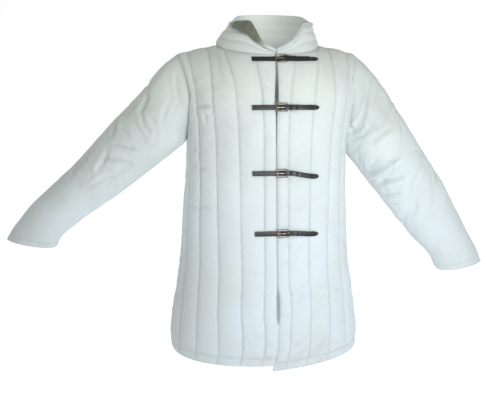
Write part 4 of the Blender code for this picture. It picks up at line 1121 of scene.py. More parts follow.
class Shader:
    """A material under construction."""

    def __init__(self, name: str, tree: bpy.types.NodeTree | None = None) -> None:
        """Start a material with a Principled shader, or go on in a tree.

        Args:
            name: The material's name.
            tree: A world's nodes, or None for a material.
        """
        self.tree = tree
        if tree is None:
            self.material = bpy.data.materials.new(name)
            self.material.use_nodes = True
            self.tree = self.material.node_tree
            self.principled = self.tree.nodes["Principled BSDF"]

    def node(self, kind: str, settings: dict | None = None, inputs: dict | None = None) -> bpy.types.Node:
        """Add a node.

        Args:
            kind: The node's type.
            settings: Its settings, which are set first.
            inputs: Values or links of its sockets, by name or number.

        Returns:
            The node.
        """
        made = self.tree.nodes.new(kind)
        for name, value in (settings or {}).items():
            setattr(made, name, value)
        self.fill(made, inputs or {})
        return made

    def fill(self, node: bpy.types.Node, inputs: dict) -> None:
        """Set or link the sockets of a node."""
        for name, value in inputs.items():
            target = node.inputs[name]
            if isinstance(value, Value):
                value = value.socket
            if isinstance(value, bpy.types.NodeSocket):
                self.tree.links.new(value, target)
            elif isinstance(value, tuple) and len(value) == 3 and target.type == "RGBA":
                target.default_value = (*value, 1.0)
            else:
                target.default_value = value

    def noise(self, scale: float, detail: float = 3.0, roughness: float = 0.5) -> Value:
        """Noise from 0 to 1 in the object's own metres.

        Args:
            scale: Features for each metre.
            detail: Octaves.
            roughness: Weight of the finer octaves.

        Returns:
            The noise's value.
        """
        place = self.node("ShaderNodeTexCoord").outputs["Object"]
        made = self.node("ShaderNodeTexNoise", {"noise_dimensions": "3D"}, {
            "Vector": place, "Scale": scale, "Detail": detail, "Roughness": roughness})
        return Value(self, made.outputs[0])

    def mix(self, factor: Any, first: Any, second: Any) -> bpy.types.NodeSocket:
        """Mix two colours.

        Args:
            factor: Share of the second colour.
            first: First colour.
            second: Second colour.

        Returns:
            The mixed colour's socket.
        """
        made = self.node("ShaderNodeMix", {"data_type": "RGBA"}, {0: factor, 6: first, 7: second})
        return made.outputs[2]

    def bump(self, height: Any, strength: float, distance: float, normal: Any = None) -> bpy.types.NodeSocket:
        """Bump from a height.

        Args:
            height: The height.
            strength: How much of it counts, from 0 to 1.
            distance: Metres for a height of one.
            normal: The normal that it adds to, or None.

        Returns:
            The bumped normal's socket.
        """
        inputs = {"Height": height, "Strength": strength, "Distance": distance}
        if normal is not None:
            inputs["Normal"] = normal
        return self.node("ShaderNodeBump", {}, inputs).outputs[0]


@dataclass(frozen=True)
class Canvas:
    """Undyed cotton canvas with a fine plain weave and a soft nap."""

    name: str = "undyed cotton canvas"
    light: tuple = (0.795, 0.850, 0.815)
    # Painted cool light: the cloth turns to this bluer colour from the higher height down to the lower, where it
    # is full.
    painted_cool_light: tuple = (0.735, 0.830, 0.915)
    painted_cool_light_heights: tuple = (-0.62, -0.10)
    soft_shade: tuple = (0.70, 0.755, 0.760)
    # Painted shade in lines, seams, hollows and creases.
    line_shade: tuple = (0.42, 0.455, 0.49)
    # Painted shadow on the collar's turned edge.
    painted_shadow_color: tuple = (0.15, 0.16, 0.115)
    thread_spacing: float = 0.0011
    roughness: float = 0.90
    sheen: float = 0.20

    def build(self) -> bpy.types.Material:
        """Build the material.

        Returns:
            The material.
        """
        shader = Shader(self.name)
        cut = shader.node("ShaderNodeUVMap", {"uv_map": "cut"}).outputs[0]
        parts = shader.node("ShaderNodeSeparateXYZ", {}, {0: cut})
        across, down = Value(shader, parts.outputs[0]), Value(shader, parts.outputs[1])
        turns = 2 * math.pi / self.thread_spacing
        weave = (across * turns).sine() * (down * turns).sine()
        slub = shader.noise(90.0, 3.0, 0.6)
        mottle = shader.noise(5.0, 3.0, 0.5)
        painted_groove_shade = Value(shader, shader.node("ShaderNodeAttribute", {"attribute_name": "painted_groove_shade"}).outputs["Fac"])
        place = shader.node("ShaderNodeTexCoord").outputs["Object"]
        height = Value(shader, shader.node("ShaderNodeSeparateXYZ", {}, {0: place}).outputs[2])
        # Painted cool light: the cloth is bluer towards the bottom.
        cloth = shader.mix(height.clamped(*self.painted_cool_light_heights, 1.0, 0.0), self.light, self.painted_cool_light)
        cloth = shader.mix(mottle.clamped(0.35, 0.72), cloth, self.soft_shade)
        cloth = shader.mix(slub.clamped(0.3, 0.8, 0.0, 0.35), cloth, self.soft_shade)
        # Painted shade in the stitched lines, seams, hollows and creases.
        cloth = shader.mix(painted_groove_shade.clamped(0.15, 1.0, 0.0, 0.32), cloth, self.line_shade)
        # Painted shadow on the collar's turned front edge, dark olive grey, a little broken by the slub.
        painted_shadow = Value(shader, shader.node("ShaderNodeAttribute", {"attribute_name": "painted_shadow"}).outputs["Fac"])
        cloth = shader.mix(painted_shadow * slub.clamped(0.1, 0.6, 0.82, 1.0), cloth, self.painted_shadow_color)
        normal = shader.bump(weave, 0.35, 0.00018)
        normal = shader.bump(shader.noise(140.0, 4.0, 0.6), 0.30, 0.0012, normal)
        normal = shader.bump(shader.noise(42.0, 3.0, 0.55), 0.35, 0.0030, normal)
        shader.fill(shader.principled, {
            "Base Color": cloth,
            "Roughness": slub.clamped(0.2, 0.8, self.roughness - 0.05, self.roughness + 0.05),
            "Normal": normal, "Sheen Weight": self.sheen, "Sheen Roughness": 0.5, "Specular IOR Level": 0.25})
        return shader.material


@dataclass(frozen=True)
class Thread:
    """Cotton thread of the sewing."""

    name: str = "cotton thread"
    light: tuple = (0.74, 0.77, 0.75)
    dark: tuple = (0.58, 0.61, 0.60)

    def build(self) -> bpy.types.Material:
        """Build the material."""
        shader = Shader(self.name)
        twist = shader.noise(900.0, 2.0, 0.5)
        color = shader.mix(twist.clamped(0.35, 0.7), self.light, self.dark)
        shader.fill(shader.principled, {"Base Color": color, "Roughness": 0.8,
                                        "Normal": shader.bump(twist, 0.4, 0.0003)})
        return shader.material


@dataclass(frozen=True)
class Leather:
    """Black strap leather with a fine grain and a soft shine."""

    name: str = "black leather"
    face: tuple = (0.012, 0.012, 0.013)
    worn: tuple = (0.050, 0.045, 0.042)
    roughness: float = 0.36

    def build(self) -> bpy.types.Material:
        """Build the material."""
        shader = Shader(self.name)
        place = shader.node("ShaderNodeTexCoord").outputs["Object"]
        cells = shader.node("ShaderNodeTexVoronoi", {"feature": "F1"}, {"Vector": place, "Scale": 1300.0})
        grain = Value(shader, cells.outputs[0])
        wear = shader.noise(160.0, 4.0, 0.65)
        color = shader.mix(wear.clamped(0.55, 0.80, 0.0, 0.7), self.face, self.worn)
        normal = shader.bump(grain, 0.35, 0.0003)
        normal = shader.bump(wear, 0.25, 0.0008, normal)
        rough = wear.clamped(0.3, 0.75, self.roughness - 0.06, self.roughness + 0.14)
        shader.fill(shader.principled, {"Base Color": color, "Roughness": rough, "Normal": normal,
                                        "Specular IOR Level": 0.55})
        return shader.material


@dataclass(frozen=True)
class Brass:
    """Aged brass, darker and brighter in random patches."""

    name: str = "aged brass"
    bright: tuple = (0.46, 0.34, 0.24)
    dull: tuple = (0.20, 0.14, 0.10)
    roughness: float = 0.34

    def build(self) -> bpy.types.Material:
        """Build the material."""
        shader = Shader(self.name)
        age = shader.noise(260.0, 5.0, 0.6)
        color = shader.mix(age.clamped(0.35, 0.65), self.bright, self.dull)
        rough = age.clamped(0.3, 0.7, self.roughness - 0.08, self.roughness + 0.18)
        shader.fill(shader.principled, {"Base Color": color, "Roughness": rough, "Metallic": 1.0,
                                        "Normal": shader.bump(age, 0.25, 0.0004)})
        return shader.material


class Finishes:
    """The materials, built once."""

    def __init__(self) -> None:
        """Build them all."""
        self.canvas = Canvas().build()
        self.thread = Thread().build()
        self.dark_thread = Thread("black thread", (0.03, 0.03, 0.03), (0.015, 0.015, 0.015)).build()
        self.leather = Leather().build()
        self.brass = Brass().build()


class Body:
    """The two fronts and the back."""

    def __init__(self, torso: Torso) -> None:
        """Dress the four half panels.

        Args:
            torso: The body's surface.
        """
        self.panels = {(face, side): HalfPanel(torso, face, side) for face in Face for side in Side}

    def build(self, finishes: Finishes) -> dict[str, bpy.types.Object]:
        """Make the fronts and the back with their stitching.

        Args:
            finishes: The materials.

        Returns:
            The cloth pieces by name.
        """
        made = {}
        for side in Side:
            name = f"front_{side.word}"
            made[name] = self._panel(name, [self.panels[Face.FRONT, side]], finishes)
        made["back"] = self._panel("back", [self.panels[Face.BACK, s] for s in Side], finishes)
        return made

    def _panel(self, name: str, halves: list[HalfPanel], finishes: Finishes) -> bpy.types.Object:
        """Join one or two halves along the centre and close them into one wall."""
        outside, inside, faces, cut, painted_groove_shade, stitching = [], [], [], [], [], Stitching()
        base = 0
        for number, half in enumerate(halves):
            grid = half.grid
            place = grid.number.copy()
            out, back = half.outside, half.inside
            if number:
                first = halves[0].grid.number[:, 0]
                keep = np.ones(len(out), bool)
                keep[place[:, 0]] = False
                renumber = np.zeros(len(out), int)
                renumber[keep] = base + np.arange(keep.sum())
                renumber[place[:, 0]] = first
                middle_out = (outside[0][first] + out[place[:, 0]]) / 2
                middle_in = (inside[0][first] + back[place[:, 0]]) / 2
                outside[0][first], inside[0][first] = middle_out, middle_in
            else:
                keep = np.ones(len(out), bool)
                renumber = np.arange(len(out))
            sign = half.side.value if len(halves) > 1 else 1.0
            outside.append(out[keep].copy())
            inside.append(back[keep].copy())
            cut.append(np.stack([half.across[grid.held] * sign, half.down[grid.held]], axis=1)[keep])
            painted_groove_shade.append(half.painted_groove_shade[keep])
            faces.append(renumber[grid.faces])
            base += keep.sum()
            self._sew(half, stitching)
        thing = Piece.wall(f"cloth_{name}", np.concatenate(outside), np.concatenate(inside), np.concatenate(faces),
                           np.concatenate(cut), np.concatenate(painted_groove_shade))
        area = sum(half.grid.area() for half in halves)
        wide = sum(float(half.across[-1, -1]) for half in halves)
        long = max(float(half.down[-1].max()) for half in halves)
        sewn = stitching.finish(f"stitching_{name}")
        return dress_cloth(thing, sewn, finishes, (wide, long), area)

    @staticmethod
    def _sew(half: HalfPanel, stitching: Stitching) -> None:
        """Sew the quilting lines and the hem of half a panel."""
        outside = half.grid.spread(half.outside)
        ways = half.grid.spread(half.grid.ways_flat)
        yoke = YOKE_ROWS * FINE_YOKE
        for mark, column in zip(half.marks[:-1], half.columns[:-1]):
            if column.stitched and mark:
                first = 2 if mark <= half.notch else yoke + 2
                stitching.sew(outside[first:-1, mark], ways[first:-1, mark])
        line, line_ways = [], []
        for j in range(1, half.grid.columns):
            down = half.down[yoke:, j]
            at = down[-1] - CLOTH.hem_line
            line.append([np.interp(at, down, outside[yoke:, j, k]) for k in range(3)])
            line_ways.append([np.interp(at, down, ways[yoke:, j, k]) for k in range(3)])
        stitching.sew(np.array(line), unit(np.array(line_ways)))


def dress_cloth(thing: bpy.types.Object, sewn: bpy.types.Object, finishes: Finishes, flat: tuple,
                area: float) -> bpy.types.Object:
    """Args:
        thing: The cloth, named as the node that it replaces.
        sewn: Its stitching.
        finishes: The materials.
        flat: Width and length of the cut.
        area: Flat area of the cut.

    Returns:
        The cloth.
    """
    node = thing.name.removeprefix("cloth_")
    thing.data.materials.append(finishes.canvas)
    sewn.data.materials.append(finishes.thread)
    for piece in (thing, sewn):
        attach(piece, "root")
    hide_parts(node)
    LOG.info("%s: %.2f by %.2f m, %.3f square metres", node, *flat, area)
    return thing


class Sleeve:
    """A one-piece padded sleeve: its cap leaves the armhole and turns into the arm."""

    CUFF_LINE = 0.018
    LUMP, LUMP_LENGTH = 0.0015, 0.065
    CRUMPLE, CRUMPLE_LENGTH = 0.0008, 0.024
    CREASED, SLANT = 0.0036, 0.42

    def __init__(self, side: Side, front: HalfPanel, back: HalfPanel) -> None:
        """Lay the sleeve out and dress it.

        Args:
            side: Right or left.
            front: The front that it is set into.
            back: The back that it is set into.
        """
        self.side = side
        self.rings = Table("along", SLEEVES[side])
        self._armhole(front, back)
        yoke, lower = YOKE_ROWS * FINE_YOKE, front.grid.columns - 1 - front.notch
        down = np.concatenate([np.linspace(0, math.pi / 2, yoke + 1),
                               math.pi / 2 * (1 + np.arange(1, lower + 1) / lower)])
        self.under = len(down) - 1
        self.turns = np.concatenate([down, 2 * math.pi - down[-2:0:-1]])
        points = self._points()
        self.grid = Grid(points, np.ones(points.shape[:2], bool), closed=True)
        self.grid.turn_out(np.repeat(points.mean(axis=1), points.shape[1], axis=0))
        self._lengths()
        self._dress()

    def _armhole(self, front: HalfPanel, back: HalfPanel) -> None:
        """Points, ways out and ways off the edge round the armhole, front down and back up."""
        yoke = YOKE_ROWS * FINE_YOKE

        def inner(row: int, j: int) -> tuple[int, int]:
            """The place next to an armhole place, inside the panel."""
            return (row, j - 1) if row < yoke or j == front.notch else (row + 1, j)

        found = []
        for panel in (front, back):
            keys = panel.armhole()
            ways = panel.grid.spread(panel.grid.ways_flat)
            found.append((np.array([panel.grid.points[k] for k in keys]), np.array([ways[k] for k in keys]),
                          panel.edge_ways(keys, inner)))
        (points, ways, edges), (back_points, back_ways, back_edges) = found
        flat = np.array([1.0, 0.0, 1.0])

        def joined(down: Array, up: Array) -> Array:
            """Ways round the loop, in the seam's plane where the two panels meet."""
            both = unit((down + up) * flat)
            return np.concatenate([both[:1], down[1:-1], both[-1:], up[-2:0:-1]])

        seam = points * flat
        self.start = np.concatenate([seam[:1], points[1:-1], seam[-1:], back_points[-2:0:-1]])
        self.start_ways, self.start_edges = joined(ways, back_ways), joined(edges, back_edges)

    def _ring(self, along: Array, turn: Array) -> Array:
        """Points of the arm at shares along it and turns round it."""
        read = {name: self.rings.read(name, along)
                for name in ("out", "forward", "z", "across", "deep", "tilt")}
        sign, tilt = self.side.value, np.radians(read["tilt"])
        across = np.stack([sign * np.cos(tilt), 0 * tilt, np.sin(tilt)], axis=-1)
        centre = np.stack([sign * read["out"], -read["forward"], read["z"]], axis=-1)
        rise = 0.0
        for fold in SLEEVE_FOLDS[self.side]:
            off_turn = (turn - math.radians(fold.angle) + math.pi) % (2 * math.pi) - math.pi
            off_along = along - fold.along - fold.slant * off_turn
            size = (off_along / fold.half_length) ** 2 + (np.degrees(off_turn) / fold.half_angle) ** 2
            rise = rise + fold.rise * np.exp(-size)
        ahead = ((read["across"] + rise) * np.cos(turn))[..., None] * across
        return centre + ahead + ((read["deep"] + rise) * np.sin(turn))[..., None] * np.array([0.0, -1.0, 0.0])

    def _points(self) -> Array:
        """Points of the plain sleeve, row by row from the armhole to the cuff."""
        first, second = SLEEVES[self.side][:2]
        self.heading = unit(np.array([self.side.value * (second.out - first.out),
                                      first.forward - second.forward, second.z - first.z]))
        start = self.start + self.start_edges * SEAM_GAP
        zero = np.zeros_like(self.turns)
        end = self._ring(zero, self.turns)
        ahead = np.maximum(self.start_edges @ self.heading, 0.0)[:, None]
        leave = unit(self.heading + self.start_edges * ahead * CAP_EDGE_PULL)
        length = np.linalg.norm(end - start, axis=1, keepdims=True) * CAP_FULLNESS
        arrive = unit(self._ring(zero + CAP_MEETS, self.turns) - end)
        rows = CAP_ROWS * FINE_CAP
        t = (np.arange(rows) / rows)[:, None, None]
        cap = hermite(start[None], (leave * length)[None], end[None], (arrive * length)[None], t)
        along = np.linspace(0, 1, SLEEVE_ROWS * FINE_SLEEVE + 1)[:, None]
        along = np.broadcast_to(along, (along.shape[0], len(self.turns)))
        return np.concatenate([cap, self._ring(along, self.turns[None])])

    def _lengths(self) -> None:
        """Lengths round the sleeve from its top, down from the armhole, and to the underarm seam."""
        points = self.grid.points
        steps = np.linalg.norm(np.roll(points, -1, axis=1) - points, axis=2)
        round_it = np.concatenate([np.zeros((len(points), 1)), np.cumsum(steps, axis=1)], axis=1)
        self.total = round_it[:, -1:] * np.ones_like(steps)
        walked = round_it[:, :-1]
        past = np.arange(steps.shape[1]) > self.under
        self.across = np.where(past, walked - self.total, walked)
        self.to_seam = np.abs(walked - walked[:, self.under:self.under + 1])
        self.down = np.concatenate([np.zeros((1, steps.shape[1])),
                                    np.cumsum(np.linalg.norm(np.diff(points, axis=0), axis=2), axis=0)])

    def _dress(self) -> None:
        """Pad the sleeve and lay its creases, seams and cuff line."""
        points, ways = self.grid.flat, self.grid.ways_flat
        across, down = self.across.ravel(), self.down.ravel()
        to_seam, to_cuff = self.to_seam.ravel(), (self.down[-1] - self.down).ravel()
        rows = np.concatenate([np.arange(CAP_ROWS * FINE_CAP) / FINE_CAP,
                               CAP_ROWS + np.arange(SLEEVE_ROWS * FINE_SLEEVE + 1) / FINE_SLEEVE])
        share = np.repeat(rows / rows[-1], len(self.turns))
        pad = SLEEVE_PAD * smoothstep(share, 0.0, PAD_FULL[0]) * (1 - smoothstep(share, PAD_FULL[1], 1.0))
        fade = smoothstep(down, 0.0, 0.014) * smoothstep(to_cuff, 0.0, 0.006)
        seam_fade = smoothstep(to_seam, 0.0, 0.014)
        wide, fine = (Lumps(30 + k + 5 * int(self.side is Side.LEFT)) for k in range(2))
        soft = self.LUMP * wide.at(across / self.LUMP_LENGTH, down / self.LUMP_LENGTH)
        soft = soft + self.CRUMPLE * fine.at(across / self.CRUMPLE_LENGTH, down / self.CRUMPLE_LENGTH)
        crumpled = Lumps(32 + 5 * int(self.side is Side.LEFT))
        busy = smoothstep(share, 0.02, 0.16) * (1 - smoothstep(share, 0.50, 0.74))
        creased = crumpled.crumple(across / 0.110, (down + self.SLANT * across) / 0.036)
        crossing = crumpled.crumple(across / 0.090 + 9, (down - 1.5 * self.SLANT * across) / 0.034 + 5)
        creased = busy * (creased + 0.7 * crossing)
        soft = soft + self.CREASED * creased
        creases = SLEEVE_CREASES[self.side]
        folded = 1.25 * crease_rise(points, ways, creases, Face.FRONT.value)
        folded = folded + crease_rise(points, ways, lowered(creases), Face.BACK.value)
        grooves = np.exp(-((to_seam / 0.0026) ** 2)) + np.exp(-(((to_cuff - self.CUFF_LINE) / 0.0020) ** 2))
        self.rise = pad + (soft * seam_fade + folded) * fade - 0.0010 * grooves * fade
        # The mask paints shade in the seam and cuff grooves, at the armhole and in the crease hollows.
        hollow = 0.55 * np.clip(-creased, 0, 1) * seam_fade + 0.6 * np.clip(-folded / 0.0035, 0, 1)
        self.painted_groove_shade = np.clip(0.8 * grooves + np.exp(-((down / 0.0035) ** 2)) + hollow * fade, 0, 1)
        turned = smoothstep(EDGE_TURN - self.start_edges @ self.heading, 0.0, 2 * EDGE_TURN)[:, None]
        edge_thick = unit((1 - turned) * -self.start_ways + turned * self.start_edges)
        blend = smoothstep(np.arange(len(self.grid.points)) / FINE_CAP, 0.0, 1.0)
        blend = np.repeat(blend, len(self.turns))[:, None]
        thick = unit((1 - blend) * np.tile(edge_thick, (len(self.grid.points), 1)) - blend * ways)
        self.outside = points + ways * self.rise[:, None]
        self.inside = points + thick * (SEAM_WALL - np.minimum(self.rise, 0.0))[:, None]

    def build(self, finishes: Finishes) -> bpy.types.Object:
        """Make the sleeve with its stitching.

        Args:
            finishes: The materials.

        Returns:
            The sleeve.
        """
        name = f"sleeve_{self.side.word}"
        cut = np.stack([self.across.ravel(), self.down.ravel()], axis=1)
        thing = Piece.wall(f"cloth_{name}", self.outside, self.inside, self.grid.faces, cut, self.painted_groove_shade,
                           self.total.ravel())
        outside, ways = self.grid.spread(self.outside), self.grid.spread(self.grid.ways_flat)
        stitching = Stitching()
        left = self.down[-1] - self.down
        row = int(np.abs(left.mean(axis=1) - self.CUFF_LINE).argmin())
        stitching.sew(np.concatenate([outside[row], outside[row, :1]]), np.concatenate([ways[row], ways[row, :1]]))
        flat = float(self.total.max()), float(self.down[-1].max())
        sewn = stitching.finish(f"stitching_{name}")
        return dress_cloth(thing, sewn, finishes, flat, self.grid.area())


class Collar:
    """The standing band, its upper edge turned over outwards at the front."""

    def __init__(self, panels: dict[tuple[Face, Side], HalfPanel]) -> None:
        """Lay the band out and dress it.

        Args:
            panels: The half panels by face and side.
        """
        self.stations = Table("place", COLLAR)
        sides = {side: self._side(panels, side) for side in Side}
        right, left = sides[Side.RIGHT], sides[Side.LEFT]
        middle = (right[0][:, -1:] + left[0][:, -1:]) / 2
        points = np.concatenate([right[0][:, :-1], middle, left[0][:, -2::-1]], axis=1)
        self.turned, self.start_ways, self.start_edges = (
            np.concatenate([right[k], left[k][-2::-1]]) for k in (1, 2, 3))
        self.grid = Grid(points, np.ones(points.shape[:2], bool))
        self.grid.turn_out(self.grid.flat * np.array([0.0, 0.0, 1.0]))
        self._dress()

    def _side(self, panels: dict[tuple[Face, Side], HalfPanel], side: Side) -> tuple[Array, ...]:
        """Columns of one side from the centre front to the centre back, with the neckline's ways."""
        found = []
        for face in Face:
            panel = panels[face, side]
            keys = [(0, j) for j in range(panel.neck + 1)]
            ways = panel.grid.spread(panel.grid.ways_flat)
            found.append((np.array([panel.grid.points[k] for k in keys]), np.array([ways[k] for k in keys]),
                          panel.edge_ways(keys, lambda row, j: (1, j))))
        flat = np.array([1.0, 0.0, 1.0])
        (points, ways, edges), (back_points, back_ways, back_edges) = found

        def joined(ahead: Array, behind: Array) -> Array:
            """Ways along the neckline, in the seam's plane at the neck point."""
            both = unit((ahead[-1:] + behind[-1:]) * flat)
            return np.concatenate([ahead[:-1], both, behind[-2::-1]])

        start = np.concatenate([points[:-1], points[-1:] * flat, back_points[-2::-1]])
        ways, edges = joined(ways, back_ways), joined(edges, back_edges)
        places = np.concatenate([np.linspace(0, 0.5, len(points)), np.linspace(0.5, 1, len(back_points))[1:]])
        columns, turned = self._columns(side, places, start, edges)
        return columns, turned, ways, edges

    def _columns(self, side: Side, places: Array, points: Array, edges: Array) -> tuple[Array, Array]:
        """Outer points above the neckline, and the width of the turned edge."""
        height, lean, turned = (self.stations.read(name, places) for name in ("height", "lean", "turned"))
        inward = unit(points * np.array([-1.0, -1.0, 0.0]))
        start, up = points + edges * COLLAR_GAP, np.array([0.0, 0.0, 1.0])
        shift = COLLAR_TOP_SHIFT * smoothstep(height, *COLLAR_SHIFT_HEIGHTS)
        top = points + up * height[:, None] + inward * (lean * COLLAR_LEAN_SHARE[side])[:, None]
        top = top + np.array([1.0, 0.0, 0.0]) * shift[:, None]
        length = np.linalg.norm(top - start, axis=1, keepdims=True)
        rows = STANDING_ROWS * FINE_COLLAR
        t = (np.arange(rows + 1) / rows)[:, None, None]
        along = unit(top - start)
        leave = unit(up + inward * COLLAR_LEAVE_LEAN) * length
        standing = hermite(start[None], leave[None], top[None], (along * length)[None], t)
        turned = turned * COLLAR_TURNED_SHARE[side]
        turned = turned * smoothstep(turned, *TURNED_LEAST)
        off = unit(along * np.einsum("ij,ij->i", inward, along)[:, None] - inward)
        stand_off = TURNED_BEND * smoothstep(turned, 0.0, TURNED_SOFT) + TURNED_SPREAD * turned
        rest = np.maximum(COLLAR_LIP - turned, 0.0)
        rows = TURNED_ROWS * FINE_COLLAR
        share = (np.arange(1, rows + 1) / rows)[:, None]
        over = off[None] * (stand_off * np.sin(share * math.pi / 2))[..., None]
        down = turned * (TURNED_CREST * np.sin(share * math.pi) - TURNED_DOWN * share * share) + rest * share
        return np.concatenate([standing, top[None] + over + along[None] * down[..., None]]), turned

    def _dress(self) -> None:
        """Raise the band's channels and set its inside a wall's thickness back."""
        points, ways = self.grid.points, self.grid.spread(self.grid.ways_flat)
        rows, columns = points.shape[:2]
        steps = np.linalg.norm(np.diff(points, axis=1), axis=2)
        self.across = np.concatenate([np.zeros((rows, 1)), np.cumsum(steps, axis=1)], axis=1)
        self.across = np.broadcast_to(self.across[:1], points.shape[:2])
        steps = np.linalg.norm(np.diff(points, axis=0), axis=2)
        self.up = np.concatenate([np.zeros((1, columns)), np.cumsum(steps, axis=0)])
        share = np.minimum(np.arange(rows) / (STANDING_ROWS * FINE_COLLAR), 1.0)
        lines = np.array(COLLAR_LINES)
        low = np.clip(np.searchsorted(lines, share + 1e-9) - 1, 0, len(lines) - 2)
        t = np.clip((share - lines[low]) / (lines[low + 1] - lines[low]), 0, 1)
        swell = np.clip(np.sin(math.pi * t), 0, 1) ** 0.7
        swell = swell[:, None] * np.ones(columns)
        covered = (low == len(lines) - 2)[:, None] * smoothstep(self.turned, 0.0, TURNED_SOFT)
        ends = np.minimum(self.across, self.across[:, -1:] - self.across)
        end_fade = smoothstep(ends, 0.0, 0.012)
        wide, fine = Lumps(50), Lumps(51)
        lump = 0.0009 * wide.at(self.across / 0.045, self.up / 0.05) + 0.0005 * fine.at(
            self.across / 0.016, self.up / 0.02 + 5)
        neck_fade = smoothstep(self.up, 0.0, 0.006)
        rise = (COLLAR_RISE * swell * (1 - covered) + lump) * end_fade * neck_fade
        # Mask of the stitched lines: it sinks them a little and paints shade in them.
        near_line = np.abs(share[:, None] - lines).min(axis=1) * self.up[STANDING_ROWS * FINE_COLLAR].mean()
        self.painted_groove_shade = (np.exp(-((near_line / 0.0022) ** 2))[:, None] * np.ones(columns)).ravel()
        rise = rise - 0.0004 * self.painted_groove_shade.reshape(rise.shape) * end_fade * neck_fade
        turned = smoothstep(EDGE_TURN - self.start_edges[:, 2], 0.0, EDGE_TURN)[:, None]
        edge_thick = unit((1 - turned) * -self.start_ways + turned * self.start_edges)
        blend = smoothstep(np.arange(rows) / FINE_COLLAR, 0.0, 1.0)[:, None, None]
        thick = unit((1 - blend) * edge_thick[None] - blend * ways)
        thickness = SEAM_WALL + 0.0012 * swell * end_fade * neck_fade
        self.outside = (points + ways * rise[..., None]).reshape(-1, 3)
        self.inside = (points + thick * thickness[..., None]).reshape(-1, 3)
        # Painted shadow on the outer face of the turned front edge, strong on the wearer's right and about a third
        # as strong on the left.
        place = self.across[0] / self.across[0, -1] * 2
        right = smoothstep(place, 0.02, 0.14) * (1 - smoothstep(place, 0.38, 0.54))
        left = 0.34 * smoothstep(2 - place, 0.02, 0.12) * (1 - smoothstep(2 - place, 0.28, 0.44))
        high = np.arange(rows) / (STANDING_ROWS * FINE_COLLAR)
        self.painted_shadow = (smoothstep(high, 0.90, 1.00)[:, None] * (right + left)).ravel()

    def build(self, finishes: Finishes) -> bpy.types.Object:
        """Make the band with its stitching.

        Args:
            finishes: The materials.

        Returns:
            The band.
        """
        cut = np.stack([self.across.ravel(), self.up.ravel()], axis=1)
        thing = Piece.wall("cloth_collar", self.outside, self.inside, self.grid.faces, cut, self.painted_groove_shade,
                           painted_shadow=self.painted_shadow)
        outside, inside = self.grid.spread(self.outside), self.grid.spread(self.inside)
        ways = self.grid.spread(self.grid.ways_flat)
        stitching = Stitching()
        for line in COLLAR_LINES[1:-1]:
            row = round(line * STANDING_ROWS * FINE_COLLAR)
            stitching.sew(outside[row, 2:-2], ways[row, 2:-2])
            stitching.sew(inside[row, 2:-2], -ways[row, 2:-2])
        flat = float(self.across.max()), float(self.up[-1].max())
        sewn = stitching.finish("stitching_collar")
        return dress_cloth(thing, sewn, finishes, flat, self.grid.area())


@dataclass(frozen=True)
class Stop:
    """One station of a band: x, height of its middle line over the cloth, and width share."""

    x: float
    out: float
    width: float = 1.0


class StrapLine:
    """The line on the fronts that one strap follows, pulled tight over the quilting."""

    def __init__(self, closure: Closure, fronts: BVHTree) -> None:
        """Measure the plain fronts along the strap's edges.

        Args:
            closure: The closure's sizes.
            fronts: The fronts' solids.
        """
        self.xs = np.linspace(closure.left_end - LINE_MARGIN, closure.right_end + LINE_MARGIN, LINE_STEPS)
        droop = closure.droop * smoothstep(self.xs, closure.bar_x, closure.bar_x + DROOP_REACH)
        self.middle_z = closure.z - droop
        low, middle, high = (self._taut(fronts, off * STRAP_WIDTH / 2) for off in (-1.0, 0.0, 1.0))
        off = np.maximum((low + high) / 2 - middle, 0.0) + SEAM_GAP + CHORD_PLAY
        self.low, self.high = low - off, high - off

    def _taut(self, fronts: BVHTree, off: float) -> Array:
        """The fronts' outermost bridge towards -Y, at a height off the strap's middle."""
        found = []
        for x, z in zip(self.xs, self.middle_z):
            hit = fronts.ray_cast(Vector((x, -1.0, z + off)), Vector((0.0, 1.0, 0.0)), 1.0)[0]
            found.append(hit.y if hit and hit.y < 0 else np.nan)
        ys = np.array(found)
        known = ~np.isnan(ys)
        ys = np.interp(self.xs, self.xs[known], ys[known])
        chain: list[tuple[float, float]] = []
        for p in zip(self.xs, ys):
            while len(chain) > 1:
                (x1, y1), (x2, y2) = chain[-2:]
                if (x2 - x1) * (p[1] - y1) - (y2 - y1) * (p[0] - x1) > 0:
                    break
                chain.pop()
            chain.append(p)
        return np.interp(self.xs, [p[0] for p in chain], [p[1] for p in chain])

    def place(self, x: Array, out: Array, up: Array) -> Array:
        """World points at x along the line, out from the cloth and up across the strap.

        Args:
            x: Places along the line.
            out: Heights over the cloth.
            up: Places across the strap.

        Returns:
            (..., 3) points.
        """
        x, out, up = np.broadcast_arrays(np.asarray(x, float), out, up)
        low, high = np.interp(x, self.xs, self.low), np.interp(x, self.xs, self.high)
        wide = unit(np.stack([0 * x, high - low, STRAP_WIDTH + 0 * x], axis=-1))
        middle = (self.low + self.high) / 2
        slope = np.interp(x + SLOPE_STEP, self.xs, middle) - np.interp(x - SLOPE_STEP, self.xs, middle)
        along = unit(np.stack([1 + 0 * x, slope / (2 * SLOPE_STEP), 0 * x], axis=-1))
        away = unit(np.cross(along, wide))
        centre = np.stack([x, (low + high) / 2, np.interp(x, self.xs, self.middle_z)], axis=-1)
        return centre + wide * up[..., None] + away * out[..., None]


